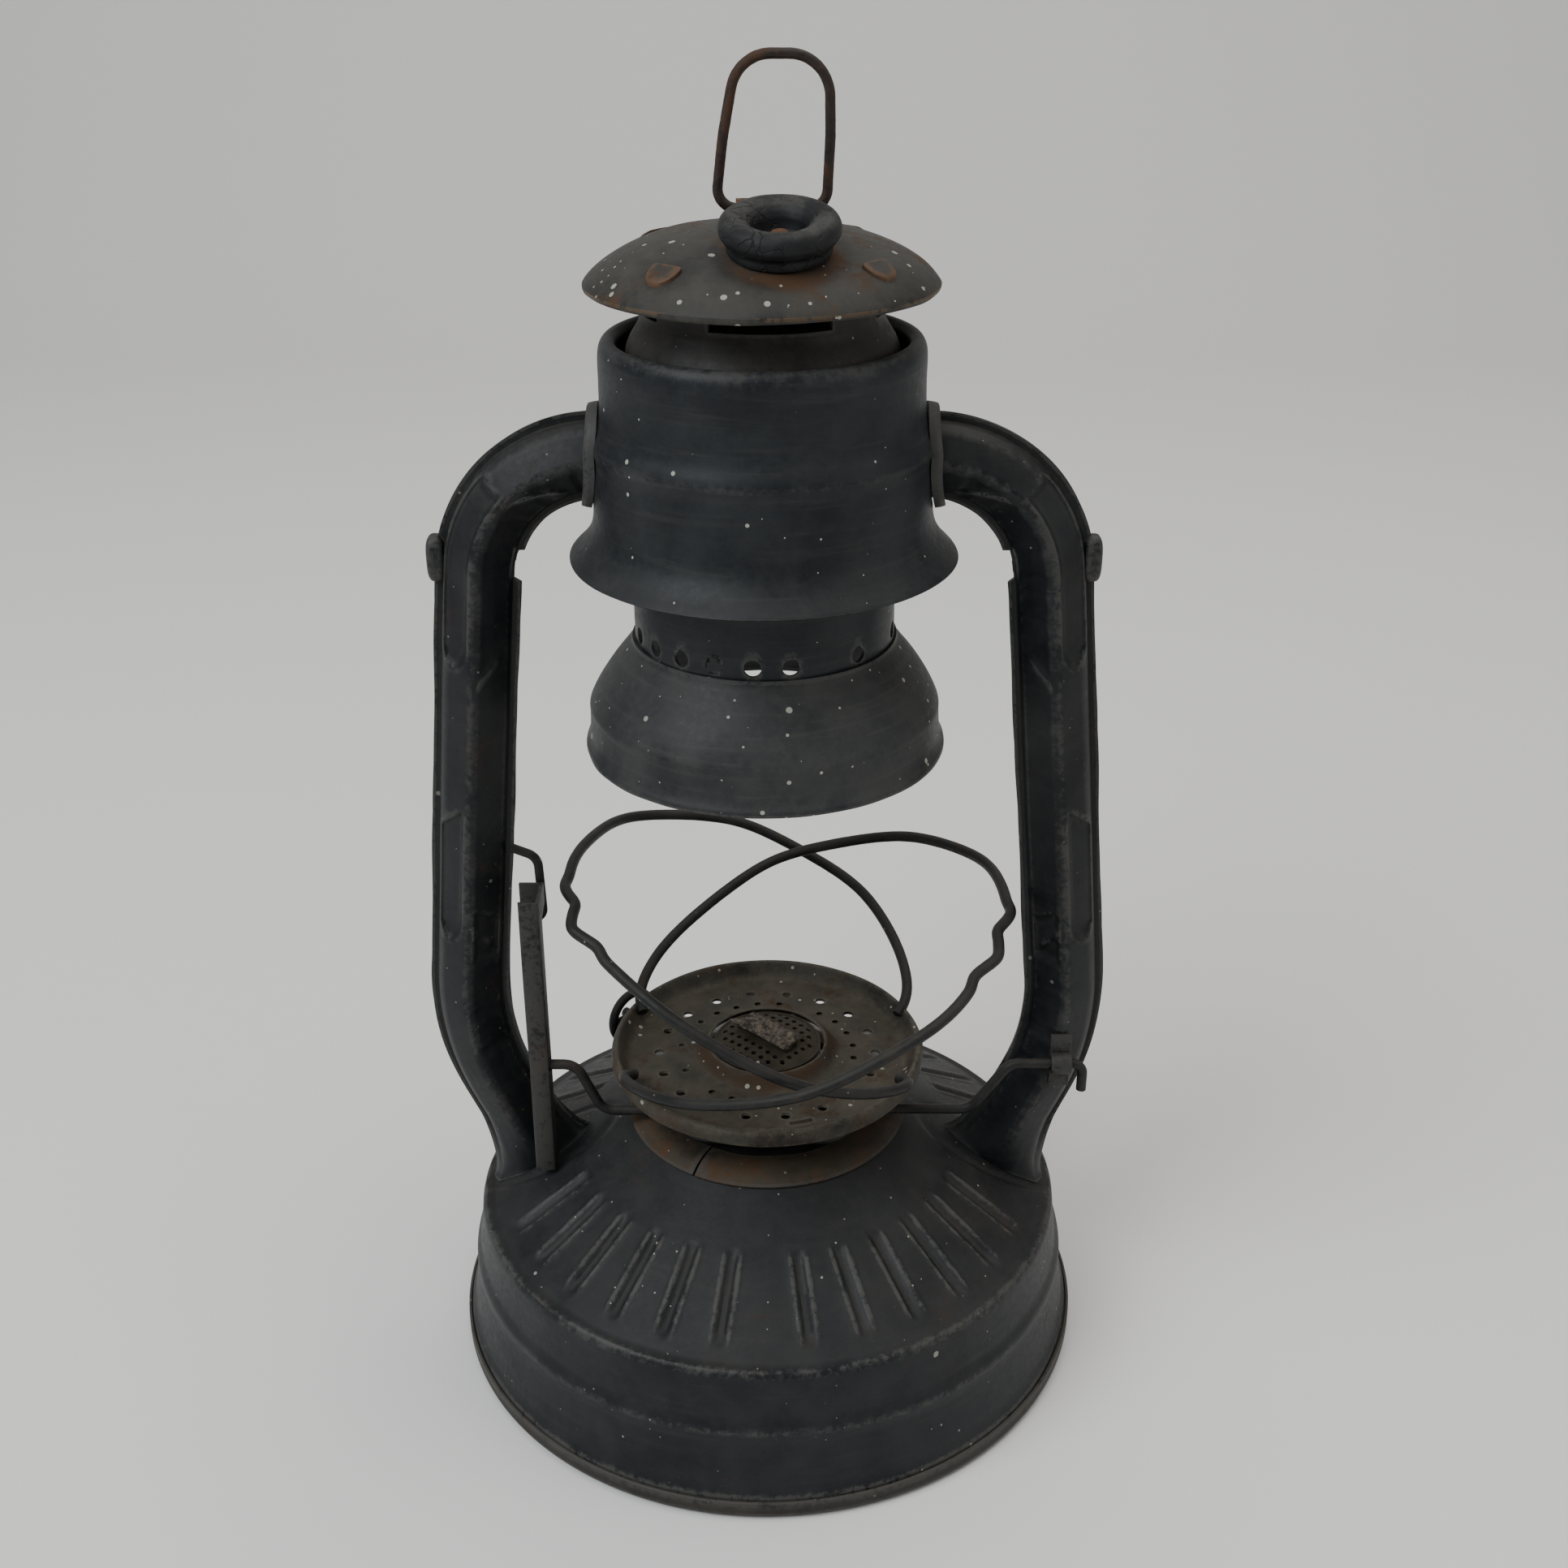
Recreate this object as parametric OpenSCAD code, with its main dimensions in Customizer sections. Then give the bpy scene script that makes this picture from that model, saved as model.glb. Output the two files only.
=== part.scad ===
// Small tubular lantern: a tinplate fuel tank, two air tubes that form the frame,
// a hood with a sliding chimney and cap, and a flat-wick burner under a lifting globe plate.
// The lantern stands on its base at z = 0 with its front towards -Y. Millimetres.

/* [Sheet and wire] */
// Thickness of the pressed sheet
sheet = 0.8; // [0.6:0.1:1.2]
// Diameter of the guard wires
guard_wire_d = 3; // [2:0.1:4]
// Diameter of the wire that lifts the globe plate
lift_wire_d = 2.7; // [2:0.1:3.4]
// Diameter of the hanging ring's wire
ring_wire_d = 2.4; // [1.8:0.1:3.2]

/* [Fuel tank] */
// Diameter over the base bead
base_d = 168; // [130:1:210]
// Diameter of the shoulder's outer edge
shoulder_d = 155; // [120:1:196]
// Height of the shoulder's outer edge
shoulder_z = 39; // [30:0.5:50]
// Rise of the shoulder cone from its edge to the neck
shoulder_rise = 24; // [18:0.5:30]
// Diameter of the shoulder at the neck
neck_d = 73; // [66:1:84]

/* [Frame] */
// Width of the frame over both air tubes
frame_w = 175; // [160:1:215]
// Width of an air tube over its seams
tube_w = 20.6; // [16:0.2:22]
// Thickness of an air tube from front to rear
tube_t = 17.2; // [14:0.2:18]
// Bend radius of the tube's centre line under the hood
top_bend_r = 29.7; // [26:0.5:36]
// Bend radius of the tube's centre line above the foot
low_bend_r = 70; // [50:1:90]

/* [Globe space] */
// Outer diameter of the globe plate
plate_d = 82.8; // [76:0.2:90]
// Diameter of the hole round the burner
plate_hole_d = 29.8; // [28:0.2:34]
// Gap from the plate's rim up to the bell, where the glass globe stands
globe_h = 88; // [74:1:106]
// Travel of the globe plate
plate_lift = 9; // [5:0.5:10]

/* [Bell and chimney] */
// Diameter over the bell's lip
bell_d = 87.6; // [78:0.2:98]
// Height of the bell from its lip to the chimney tube
bell_h = 28.3; // [24:0.5:34]
// Outer diameter of the chimney tube
flue_d = 61.4; // [52:0.2:64]
// Travel of the chimney
chimney_lift = 25; // [10:1:26]
// Number of air holes round the chimney tube
flue_holes = 22; // [12:1:24]

/* [Hood] */
// Diameter of the hood above its crease
hood_d = 73.6; // [70:0.2:84]
// Diameter over the hood's flared skirt
skirt_d = 90.6; // [82:0.2:104]
// Height of the hood
hood_h = 50.4; // [46:0.2:60]
// Gap between the bell's lip and the hood's skirt
bell_gap = 48; // [40:1:60]
// Clearance between the hood's opening and the chimney tube
flue_clear = 1.5; // [0.5:0.1:3]

/* [Cap] */
// Diameter over the cap's rim
cap_d = 79; // [66:0.5:90]
// Height of the cap's dome above its rim
dome_h = 12.2; // [8:0.2:18]
// Gap from the top of the hood to the cap's rim
cap_gap = 9.8; // [6:0.2:16]
// Diameter of the knob
knob_d = 26; // [20:0.5:28]
// Height of the knob
knob_h = 7.8; // [6:0.2:12]
// Height of the hanging ring over its hinge
ring_h = 31; // [24:0.5:44]
// Width of the hanging ring at its foot
ring_w = 23.8; // [20:0.2:32]

/* [Burner and filler] */
// Turn of the burner in its collar, from the +X axis to the winder
burner_turn = 137; // [125:1:150]
// Width of the flat wick
wick_w = 15.8; // [12:0.2:16]
// Thickness of the flat wick
wick_t = 2.4; // [1.8:0.1:3]
// Outer diameter of the filler cap
filler_d = 26; // [22:0.5:30]

/* [Hidden] */
$fn = 64;

old_paint = [0.30, 0.33, 0.35];
dark_paint = [0.20, 0.22, 0.24];
rusty = [0.36, 0.28, 0.22];
brass = [0.55, 0.45, 0.28];
cotton = [0.62, 0.58, 0.50];
cork = [0.55, 0.42, 0.30];

// Gap left between pieces that slide past each other
slide_gap = 0.4;

// Fuel tank
base_r = base_d / 2;
bead_r = 2.3;
foot_flat = 0.8;                     // half width of the flat the bead stands on
edge_r = shoulder_d / 2;
neck_r = neck_d / 2;
neck_z = shoulder_z + shoulder_rise;
cone_r = edge_r - 2.8;               // where the cone ends and the edge starts to turn down
cone_z = shoulder_z + 2;
cone_k = (neck_z - cone_z) / (cone_r - neck_r);
deck_z = neck_z + 2.6;               // flat deck inside the neck, round the burner
collar_r = 16.4;                     // outside of the burner's threaded collar
collar_h = 5.5;
function shoulder_at(r) = neck_z - (r - neck_r) * cone_k;

// Heights above the tank
plate_z = deck_z + 13;               // underside of the globe plate's rim
plate_rim_z = plate_z + 5;
bell_z = plate_rim_z + globe_h;
bell_r = bell_d / 2;
bell_top_z = bell_z + bell_h;
flue_r = flue_d / 2;
flue_hole_z = bell_top_z + 2.7;
hood_z = bell_z + bell_gap;
hood_r = hood_d / 2;
skirt_r = skirt_d / 2;
hood_top_z = hood_z + hood_h;
opening_r = flue_r + flue_clear;
crease_r = hood_r + 2.4;
cap_z = hood_top_z + cap_gap;        // lower edge of the cap's rim
cap_r = cap_d / 2;
crown_z = cap_z + 1.8 + dome_h;      // top of the cap's dome
neck_slot_z = cap_z - 4.4;           // lower edge of the smoke slots
smoke_r = flue_r - 3.7;              // neck under the cap

// Air tubes: centre line in the plane y = 0, as two bends with a straight between them
tube_u = tube_w / 2;
tube_v = tube_t / 2;
flange_w = 2.1;
tube_sheet = 0.6;
wide_x = frame_w / 2 - tube_u - 0.4;
wide_z = deck_z + 40.4;
bend1 = [hood_r + 0.4, hood_z + 23 - top_bend_r];
to_wide = [wide_x - bend1[0], wide_z - bend1[1]];
slant = atan2(to_wide[1], to_wide[0]) + acos(top_bend_r / norm(to_wide));
bend1_end = bend1 + top_bend_r * [cos(slant), sin(slant)];
bend2 = [wide_x, wide_z] - low_bend_r * [cos(slant), sin(slant)];
foot_half = 17;                      // half length of the foot along the shoulder
foot_x = cone_r - foot_half * cos(atan(cone_k)) + 1.2;
foot_z = shoulder_at(foot_x);
to_foot = [foot_x - bend2[0], foot_z - bend2[1]];
lean = atan2(to_foot[1], to_foot[0]) + acos(low_bend_r / norm(to_foot));
bend2_end = bend2 + low_bend_r * [cos(lean), sin(lean)];
leg_l = norm([foot_x, foot_z] - bend2_end);
foot_l = 17;                         // length of the leg's flared end
function line_x(z) = wide_x - (z - wide_z) * tan(slant);
function bend_x(z) = bend2[0] + sqrt(low_bend_r * low_bend_r - (z - bend2[1]) * (z - bend2[1]));

// Bail ears, on the tube's outer seam below the top bend
ear_z = bend1_end[1] + 1.5;
ear_h = 11;
ear_hole_r = 1.6;
ear_wall = 1.2;

// Lift gear: a strap at the left tube, a cranked wire under the plate, a lug at the right tube
lift_wire_r = lift_wire_d / 2;
lever_travel = plate_lift / 0.643;
lever_w = 5.2;
lever_d = 5.4;
lever_y = -tube_v - 5.9;             // front face of the strap
lever_top_z = wide_z + 27;
lever_x = -(line_x(lever_top_z) - tube_u - 5.4);
hook_y = lever_y + 1.4 + lift_wire_r;
pivot_z = plate_z + 5.4;             // height of the lift wire's two ends
pivot_x = bend_x(pivot_z) + 0.8;
lug_r = lift_wire_r + 0.65;
pivot_y = -tube_v - lug_r - 0.3;
run_z = deck_z + 4;                  // height of the wire's run under the plate

// Burner
wick_turn = burner_turn;
shaft_r = 1.4;
shaft_z = deck_z + 6.7;
spur_r = 3.3;
shaft_off = wick_t / 2 + spur_r + 0.5;
burner_r = plate_hole_d / 2 - 0.8;
burner_top_z = plate_rim_z + 0.4;
winder_reach = plate_d / 2 + 6.6;
loop_r = 7;

// Filler, square to the rear of the shoulder
filler_r = filler_d / 2;
filler_neck_r = filler_r - 3;
filler_at = (neck_r + cone_r) / 2;
filler_tilt = atan(cone_k);
filler_neck_h = 7;

// Cap fittings
knob_tilt = 13;
knob_pos = [4, -19.5, crown_z - 2.4];
ring_x = 2;
ring_pivot = [ring_x, -1, crown_z + 3.1];
ring_wire_r = ring_wire_d / 2;
strap_w = 15;

// ---- Shared shapes ----

// Points on an arc about [x, z]
function arc(x, z, r, from, to, n = 6) = oval_arc(x, z, r, r, from, to, n);
function oval_arc(x, z, rx, rz, from, to, n = 6) =
    [for (i = [0:n]) let(a = from + (to - from) * i / n) [x + rx * cos(a), z + rz * sin(a)]];

// Unit normal to the right of the direction p to q
function right_of(p, q) = [q[1] - p[1], p[0] - q[0]] / norm(q - p);

// Point i of a path moved to the right by t, mitred at the corner
function shifted(path, i, t) =
    let(n = len(path) - 1,
        a = right_of(path[max(i - 1, 0)], path[max(i, 1)]),
        b = right_of(path[min(i, n - 1)], path[min(i + 1, n)]),
        m = (a + b) / norm(a + b))
    path[i] + m * t / (m * a);

// Outline of sheet of thickness t that follows a path, with the metal to the right
function strip(path, t) =
    concat(path, [for (i = [len(path) - 1:-1:0]) shifted(path, i, t)]);

// Keeps an outline on the positive side of the axis
function off_axis(path) = [for (p = path) [max(p[0], 0), p[1]]];

// Sheet spun round the lantern's axis
module spun(path, t = sheet) {
    rotate_extrude($fn = 128) polygon(off_axis(strip(path, t)));
}

// Everything inside a spun outline, down to height z0
module spun_solid(path, z0) {
    rotate_extrude($fn = 128)
        polygon(concat([[0, path[0][1]]], path, [[path[len(path) - 1][0], z0], [0, z0]]));
}

// Places its child with local x, y, z along the given unit vectors
module framed(x, y, z, at) {
    multmatrix([[x[0], y[0], z[0], at[0]], [x[1], y[1], z[1], at[1]], [x[2], y[2], z[2], at[2]], [0, 0, 0, 1]])
        children();
}

function unit(v) = v / norm(v);
function any_normal(v) = abs(v[2]) < 0.9 ? unit(cross([0, 0, 1], v)) : unit(cross([1, 0, 0], v));

// Unit directions of the wire into and out of point i; the route wraps round at its ends
function way_in(pts, i) = unit(pts[i] - pts[(i + len(pts) - 1) % len(pts)]);
function way_out(pts, i) = unit(pts[(i + 1) % len(pts)] - pts[i]);

// Length of wire that the bend at point i takes from each side; radius 0 means no bend
function cut_back(pts, radii, i) =
    radii[i] == 0 ? 0 : radii[i] * tan(acos(way_in(pts, i) * way_out(pts, i)) / 2);

// Round wire through points in space, with a bend of the given radius at each one.
// Each bend is a hair thicker than the wire and laps its straights, so they join cleanly.
module bent_wire(pts, radii, r, closed = false) {
    n = len(pts);
    swell = 0.03;
    lap = 0.25;
    for (i = [0:n - (closed ? 1 : 2)]) {
        j = (i + 1) % n;
        d = way_out(pts, i);
        from = pts[i] + d * cut_back(pts, radii, i);
        to = pts[j] - d * cut_back(pts, radii, j);
        x = any_normal(d);
        framed(x, cross(d, x), d, from) cylinder(h = norm(to - from), r = r, $fn = 24);
    }
    for (i = [0:n - 1]) if (radii[i] > 0) {
        a = way_in(pts, i);
        b = way_out(pts, i);
        axis = unit(cross(a, b));
        out = cross(a, axis);
        start = pts[i] - a * cut_back(pts, radii, i);
        over = lap / radii[i] * 180 / PI;
        framed(out, a, axis, start - out * radii[i]) rotate([0, 0, -over])
            rotate_extrude(angle = acos(a * b) + 2 * over, $fn = 96) translate([radii[i], 0])
                circle(r + swell, $fn = 24);
    }
}

// Oval prism along +x, the shape of a tube's socket
module oval(half_w, half_h, x0, x1) {
    for (s = [-1, 1])
        translate([x0, 0, s * (half_h - half_w)]) rotate([0, 90, 0]) cylinder(h = x1 - x0, r = half_w);
    translate([x0, -half_w, half_w - half_h]) cube([x1 - x0, 2 * half_w, 2 * (half_h - half_w)]);
}

// ---- Fuel tank ----

rib_z = shoulder_z - 14.6;
skirt_slope = (base_r - edge_r) / shoulder_z;
function skirt_at(z) = edge_r + 0.3 + (shoulder_z - 3 - z) * skirt_slope * 0.86;
shell_path = concat(
    [[collar_r, deck_z], [neck_r - 6, deck_z], [neck_r - 2.6, neck_z + 1.9], [neck_r, neck_z], [cone_r, cone_z]],
    arc(edge_r - 3.2, shoulder_z - 0.8, 3.4, 48, 4, 4),
    [[skirt_at(rib_z + 6), rib_z + 6], [skirt_at(rib_z + 3), rib_z + 3]],
    [for (i = [-2:2]) [skirt_at(rib_z - i) + 0.9 * cos(i * 45), rib_z - i]],
    [[skirt_at(rib_z - 4), rib_z - 4], [base_r - 1.7, 8], [base_r - 0.9, 2 * bead_r + 0.5], [base_r - 0.9, 2 * bead_r]]);

module fount_shell() {
    color(old_paint) difference() {
        spun(shell_path);
        filler_frame() translate([0, 0, -6]) cylinder(h = 12, r = filler_neck_r);
    }
}

module base_ring() {
    mid = base_r - bead_r;
    top = 2 * bead_r;
    lip = 0.85;
    color(dark_paint) rotate_extrude($fn = 128) polygon(concat(
        [[mid - foot_flat, 0], [mid + foot_flat, 0]],
        arc(mid, bead_r, bead_r, -60, 0, 4),
        [[base_r, top + 0.6], [base_r - lip / 2, top + 0.9], [base_r - lip, top + 0.9], [base_r - lip, top]],
        arc(mid, bead_r, bead_r, 90, 240, 8)));
}

module fount_bottom() {
    z = 2 * bead_r;
    color(dark_paint) spun([[0, z + 4.4], [base_r - 40, z + 3.8], [base_r - 9, z + 2.8],
        [base_r - 6, z + 0.7], [base_r - 2.2, z + 0.7]], 0.7);
}

module neck_ring() {
    color(rusty) difference() {
        spun([[neck_r - 9, deck_z + 0.9], [neck_r - 6, deck_z + 0.9], [neck_r - 2.4, neck_z + 2.8],
              [neck_r + 0.4, neck_z + 0.9]], 0.8);
        rotate([0, 0, -120]) translate([neck_r - 10, -0.4, neck_z]) cube([14, 0.8, 6]);
    }
}

module burner_collar() {
    color(brass) difference() {
        translate([0, 0, deck_z - 3]) cylinder(h = collar_h, r = collar_r);
        translate([0, 0, deck_z - 4]) cylinder(h = collar_h + 2, r = collar_r - 2);
    }
}

// Places its child on the filler's axis, z square to the shoulder
module filler_frame() {
    translate([0, filler_at, shoulder_at(filler_at)]) rotate([-filler_tilt, 0, 0]) children();
}

module filler_neck() {
    color(old_paint) filler_frame() difference() {
        translate([0, 0, -2]) cylinder(h = filler_neck_h + 2, r = filler_neck_r);
        translate([0, 0, -3]) cylinder(h = filler_neck_h + 4, r = filler_neck_r - 1);
    }
}

module filler_cap() {
    knurls = 24;
    color(dark_paint) filler_frame() difference() {
        union() {
            translate([0, 0, 2]) cylinder(h = filler_neck_h + 0.6, r = filler_r);
            translate([0, 0, filler_neck_h + 2.6]) cylinder(h = 1.4, r1 = filler_r, r2 = filler_r - 2.2);
        }
        translate([0, 0, 1]) cylinder(h = filler_neck_h + 1.5, r = filler_neck_r + slide_gap);
        for (i = [0:knurls - 1])
            rotate([0, 0, i * 360 / knurls]) translate([filler_r + 0.5, 0, 1]) cylinder(h = 6.4, r = 1, $fn = 16);
    }
}

module filler_gasket() {
    color(cork) filler_frame() translate([0, 0, filler_neck_h + 0.4]) difference() {
        cylinder(h = 2.1, r = filler_neck_r - 0.1);
        translate([0, 0, -1]) cylinder(h = 4, r = filler_neck_r - 3.5);
    }
}

// ---- Air tubes and what is fixed to them ----

// Outer line of the front half's section: u across the tube, v towards the front
web_u = tube_u - flange_w;
section_path = [[-tube_u, tube_sheet], [-web_u, tube_sheet], [-web_u + 0.7, 2.6], [-1.6, tube_v - 0.6], [0, tube_v],
    [1.6, tube_v - 0.7], [web_u - 2.2, 5.2], [web_u - 0.4, 2.8], [web_u, tube_sheet], [tube_u, tube_sheet]];
stub_x = hood_r - 1.6;               // where the tube ends inside the hood
socket_z = bend1[1] + top_bend_r;

// Section of the sheet; the bends are drawn a hair thicker, so that the straights end inside them
module section(grow = 0) {
    path = [for (i = [0:len(section_path) - 1])
        let(p = shifted(section_path, i, -grow)) [p[0] * (1 + grow / tube_u), p[1]]];
    polygon([for (p = strip(path, tube_sheet + 2 * grow)) [p[0], max(p[1], 0)]]);
}

module straight(length) {
    rotate([90, 0, 0]) linear_extrude(length) section();
}

// Bend about the origin from one angle to another, lapping the straights at both ends
module bend(r, from, to) {
    over = 0.2 / r * 180 / PI;
    rotate_extrude(angle = to - from + 2 * over, start = from - over, $fn = 96) translate([r, 0]) section(0.02);
}

// Foot: a flared end that spreads over the shoulder
slope = atan(cone_k);
foot_path = [[-foot_half, 0], [-foot_half + 4, 3], [-5, 6.4], [6, 7.8], [foot_half - 3.4, 6.2], [foot_half, 0]];

function inside(path, t) = [for (i = [0:len(path) - 1]) shifted(path, i, t)];
function closed_body(path) = [for (p = path) if (abs(p[0]) < tube_u - 1) [p[0], max(p[1], 0)]];
function web(grow) = closed_body(inside(section_path, -grow));

module foot_solid(top, bottom) {
    hull() {
        translate(bend2_end + (leg_l - foot_l) * [sin(lean), -cos(lean)]) rotate([0, 0, lean])
            rotate([90, 0, 0]) linear_extrude(0.05) polygon(top);
        translate([foot_x, foot_z - 0.3]) rotate([0, 0, -slope])
            rotate([90, 0, 0]) linear_extrude(0.05) polygon(bottom);
    }
}

module tube_half() {
    edge = web_u + 0.05;
    difference() {
        rotate([90, 0, 0]) {
            translate([stub_x, socket_z]) rotate([0, 0, 90]) straight(bend1[0] - stub_x);
            translate(bend1) bend(top_bend_r, slant, 90);
            translate(bend1_end) rotate([0, 0, slant]) straight(norm([wide_x, wide_z] - bend1_end));
            translate(bend2) bend(low_bend_r, lean, slant);
            translate(bend2_end) rotate([0, 0, lean]) straight(leg_l - foot_l + 0.5);
            difference() {
                foot_solid(concat([[-edge, 0]], web(0.05), [[edge, 0]]), foot_path);
                foot_solid(concat([[-edge + 0.75, -1]], inside(web(-0.65), 0), [[edge - 0.75, -1]]),
                    concat([[-foot_half + 1.4, -1]], inside(foot_path, 0.8), [[foot_half - 1.4, -1]]));
            }
        }
        // room behind the bail ear, and the notch opposite it in the inner seam
        translate([line_x(ear_z) + web_u + 0.2, -3, ear_z - 3.5]) cube([4, 6, 7]);
        translate([line_x(ear_z) - tube_u - 3, -3, ear_z - 4]) cube([3 + flange_w - 0.3, 6, 10.5]);
    }
}

module right_tube_front() { color(old_paint) tube_half(); }
module right_tube_rear() { color(old_paint) mirror([0, 1, 0]) tube_half(); }
module left_tube_front() { color(old_paint) mirror([1, 0, 0]) tube_half(); }
module left_tube_rear() { color(old_paint) mirror([1, 0, 0]) mirror([0, 1, 0]) tube_half(); }

module bail_ear() {
    leg = 0.8;
    reach = 2.2;
    half_w = 3.4;
    translate([line_x(ear_z), 0, ear_z]) rotate([0, -slant, 0]) translate([tube_u, 0, 0]) difference() {
        translate([-reach, -half_w, -ear_h / 2]) cube([reach + ear_wall, 2 * half_w, ear_h]);
        translate([-reach - 1, -half_w + leg, -ear_h]) cube([reach + 1, 2 * (half_w - leg), 2 * ear_h]);
        translate([-reach - 1, 0, 0]) rotate([0, 90, 0]) cylinder(h = reach + ear_wall + 2, r = ear_hole_r);
    }
}

module right_bail_ear() { color(rusty) bail_ear(); }
module left_bail_ear() { color(rusty) mirror([1, 0, 0]) bail_ear(); }

module lever_staple() {
    y = -1.5;
    z = lever_top_z;
    out = lever_x + 0.4;
    color(dark_paint) bent_wire([
        [-(line_x(z + 9) - tube_u + 1.4), y, z + 9], [out - 1.6, y, z + 6.5],
        [out - 1, y, z - 10], [-(line_x(z - 13) - tube_u + 1.4), y, z - 13]], [0, 4, 3, 0], 1.2);
}

module wire_lug() {
    w = 5.3;
    color(old_paint) difference() {
        union() {
            translate([pivot_x - w / 2, pivot_y, pivot_z]) rotate([0, 90, 0]) cylinder(h = w, r = lug_r + 0.8);
            translate([pivot_x - w / 2, -tube_v - 0.9, pivot_z - 8]) cube([w, 1.2, 15.5]);
        }
        translate([pivot_x - w, pivot_y, pivot_z]) rotate([0, 90, 0]) cylinder(h = 2 * w, r = lug_r);
    }
}

// ---- Hood ----

roll = hood_r - opening_r;
hood_path = concat(
    [[opening_r, hood_top_z - 3.4]],
    arc(opening_r + roll * 0.4, hood_top_z - roll * 0.4, roll * 0.4, 180, 90, 4),
    oval_arc(hood_r - roll * 0.6, hood_top_z - 4.5, roll * 0.6, 4.5, 75, 0, 5),
    [[hood_r + 0.1, hood_z + 34], [hood_r + 0.9, hood_z + 30.4], [crease_r - 0.4, hood_z + 27.6],
     [crease_r, hood_z + 25.8], [crease_r - 0.7, hood_z + 23.8], [crease_r - 0.2, hood_z + 20],
     [crease_r, hood_z + 12], [crease_r + 0.3, hood_z + 9], [crease_r + 1.2, hood_z + 6],
     [(crease_r + skirt_r) / 2 + 0.2, hood_z + 3], [skirt_r - 0.3, hood_z + 0.6], [skirt_r, hood_z]]);
socket_w = tube_v + 0.7;
socket_h = tube_u + 0.8;

module hood_shell() {
    color(old_paint) difference() {
        spun(hood_path);
        for (s = [0, 1]) mirror([s, 0, 0])
            translate([0, 0, socket_z]) oval(socket_w, socket_h, flue_r + 1, skirt_r);
    }
}

module hood_collar() {
    difference() {
        translate([0, 0, socket_z]) oval(socket_w + 1.1, socket_h + 1.1, hood_r - 3, hood_r + 3.4);
        translate([0, 0, socket_z]) oval(socket_w, socket_h, hood_r - 4, hood_r + 6);
        spun_solid(hood_path, hood_z);
    }
}

module right_hood_collar() { color(old_paint) hood_collar(); }
module left_hood_collar() { color(old_paint) mirror([1, 0, 0]) hood_collar(); }

module hood_guide_ring() {
    z = hood_z + 38;
    color(dark_paint) spun([[flue_r + slide_gap + 0.6, z + 1.4], [flue_r + slide_gap + 1.2, z],
        [hood_r - 0.85, z], [hood_r - 0.85, z - 2.6]], 0.6);
}

module chimney_springs() {
    w = 8;
    z = hood_z;
    path = [[hood_r - 1.3, z + 35], [hood_r - 1.5, z + 32], [flue_r + 1.2, z + 26], [flue_r + 1.6, z + 22],
        [crease_r - 1.4, z + 15], [crease_r - 1.2, z + 12]];
    color(dark_paint) for (s = [0, 1]) mirror([0, s, 0])
        rotate([0, 0, -90]) rotate([90, 0, 0]) translate([0, 0, -w / 2]) linear_extrude(w) polygon(strip(path, 0.5));
}

// ---- Burner ----

// Places its child at the burner, with x along the wick's width and the winder's shaft
module burner_frame() {
    rotate([0, 0, wick_turn]) children();
}

tube_gap = 0.35;
tube_wall = 0.6;
wick_hw = wick_w / 2 + tube_gap;
wick_ht = wick_t / 2 + tube_gap;
seat_r = collar_r - 2;
flange_z = deck_z + collar_h - 3;

module burner_base() {
    color(brass) difference() {
        union() {
            translate([0, 0, deck_z - 6]) cylinder(h = flange_z - deck_z + 6, r = seat_r);
            translate([0, 0, flange_z]) cylinder(h = 1.2, r = collar_r + 0.8);
        }
        translate([0, 0, deck_z - 4.8]) cylinder(h = 20, r = seat_r - 1.6);
        burner_frame() translate([-wick_hw - tube_wall, -wick_ht - tube_wall, deck_z - 8])
            cube([2 * (wick_hw + tube_wall), 2 * (wick_ht + tube_wall), 6]);
    }
}

module burner_gallery() {
    air_holes = 18;
    wide = burner_r + 2;
    color(brass) difference() {
        spun([[burner_r, burner_top_z - 0.6], [burner_r, plate_z + 0.2], [wide, plate_z - 3], [wide, flange_z + 1.2]], 0.6);
        burner_frame() translate([0, shaft_off, shaft_z]) rotate([0, 90, 0]) cylinder(h = 30, r = shaft_r + 0.1);
        for (i = [0:air_holes - 1])
            rotate([0, 0, (i + 0.5) * 360 / air_holes + wick_turn]) translate([burner_r - 3, 0, plate_z + 2.4])
                rotate([0, 90, 0]) cylinder(h = 6, r = 0.9, $fn = 16);
    }
}

module burner_deck() {
    pitch = 2.6;
    n = 5;
    slot_x = wick_hw + tube_wall;
    slot_y = wick_ht + tube_wall;
    color(brass) difference() {
        spun([[0, burner_top_z + 1.3], [6, burner_top_z + 1.1], [burner_r - 3, burner_top_z + 0.4],
              [burner_r - 0.6, burner_top_z - 0.7]], 0.6);
        burner_frame() {
            translate([-slot_x, -slot_y, burner_top_z - 4]) cube([2 * slot_x, 2 * slot_y, 10]);
            for (i = [-n:n], j = [-n:n])
                if (norm([i, j]) * pitch < burner_r - 2 && (abs(i) * pitch > slot_x + 0.9 || abs(j) * pitch > slot_y + 0.9))
                    translate([i * pitch, j * pitch, burner_top_z - 4]) cylinder(h = 8, r = 0.65, $fn = 16);
        }
    }
}

spur_at = [-1, 0, 1] * wick_w * 0.3;

module wick_tube() {
    z = deck_z - 14;
    top = burner_top_z + 2.4;
    color(brass) burner_frame() difference() {
        translate([-wick_hw - tube_wall, -wick_ht - tube_wall, z])
            cube([2 * (wick_hw + tube_wall), 2 * (wick_ht + tube_wall), top - z]);
        translate([-wick_hw, -wick_ht, z - 1]) cube([2 * wick_hw, 2 * wick_ht, top - z + 2]);
        for (x = spur_at) translate([x - 1, wick_ht - 0.2, shaft_z - 3]) cube([2, 2, 6]);
    }
}

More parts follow.
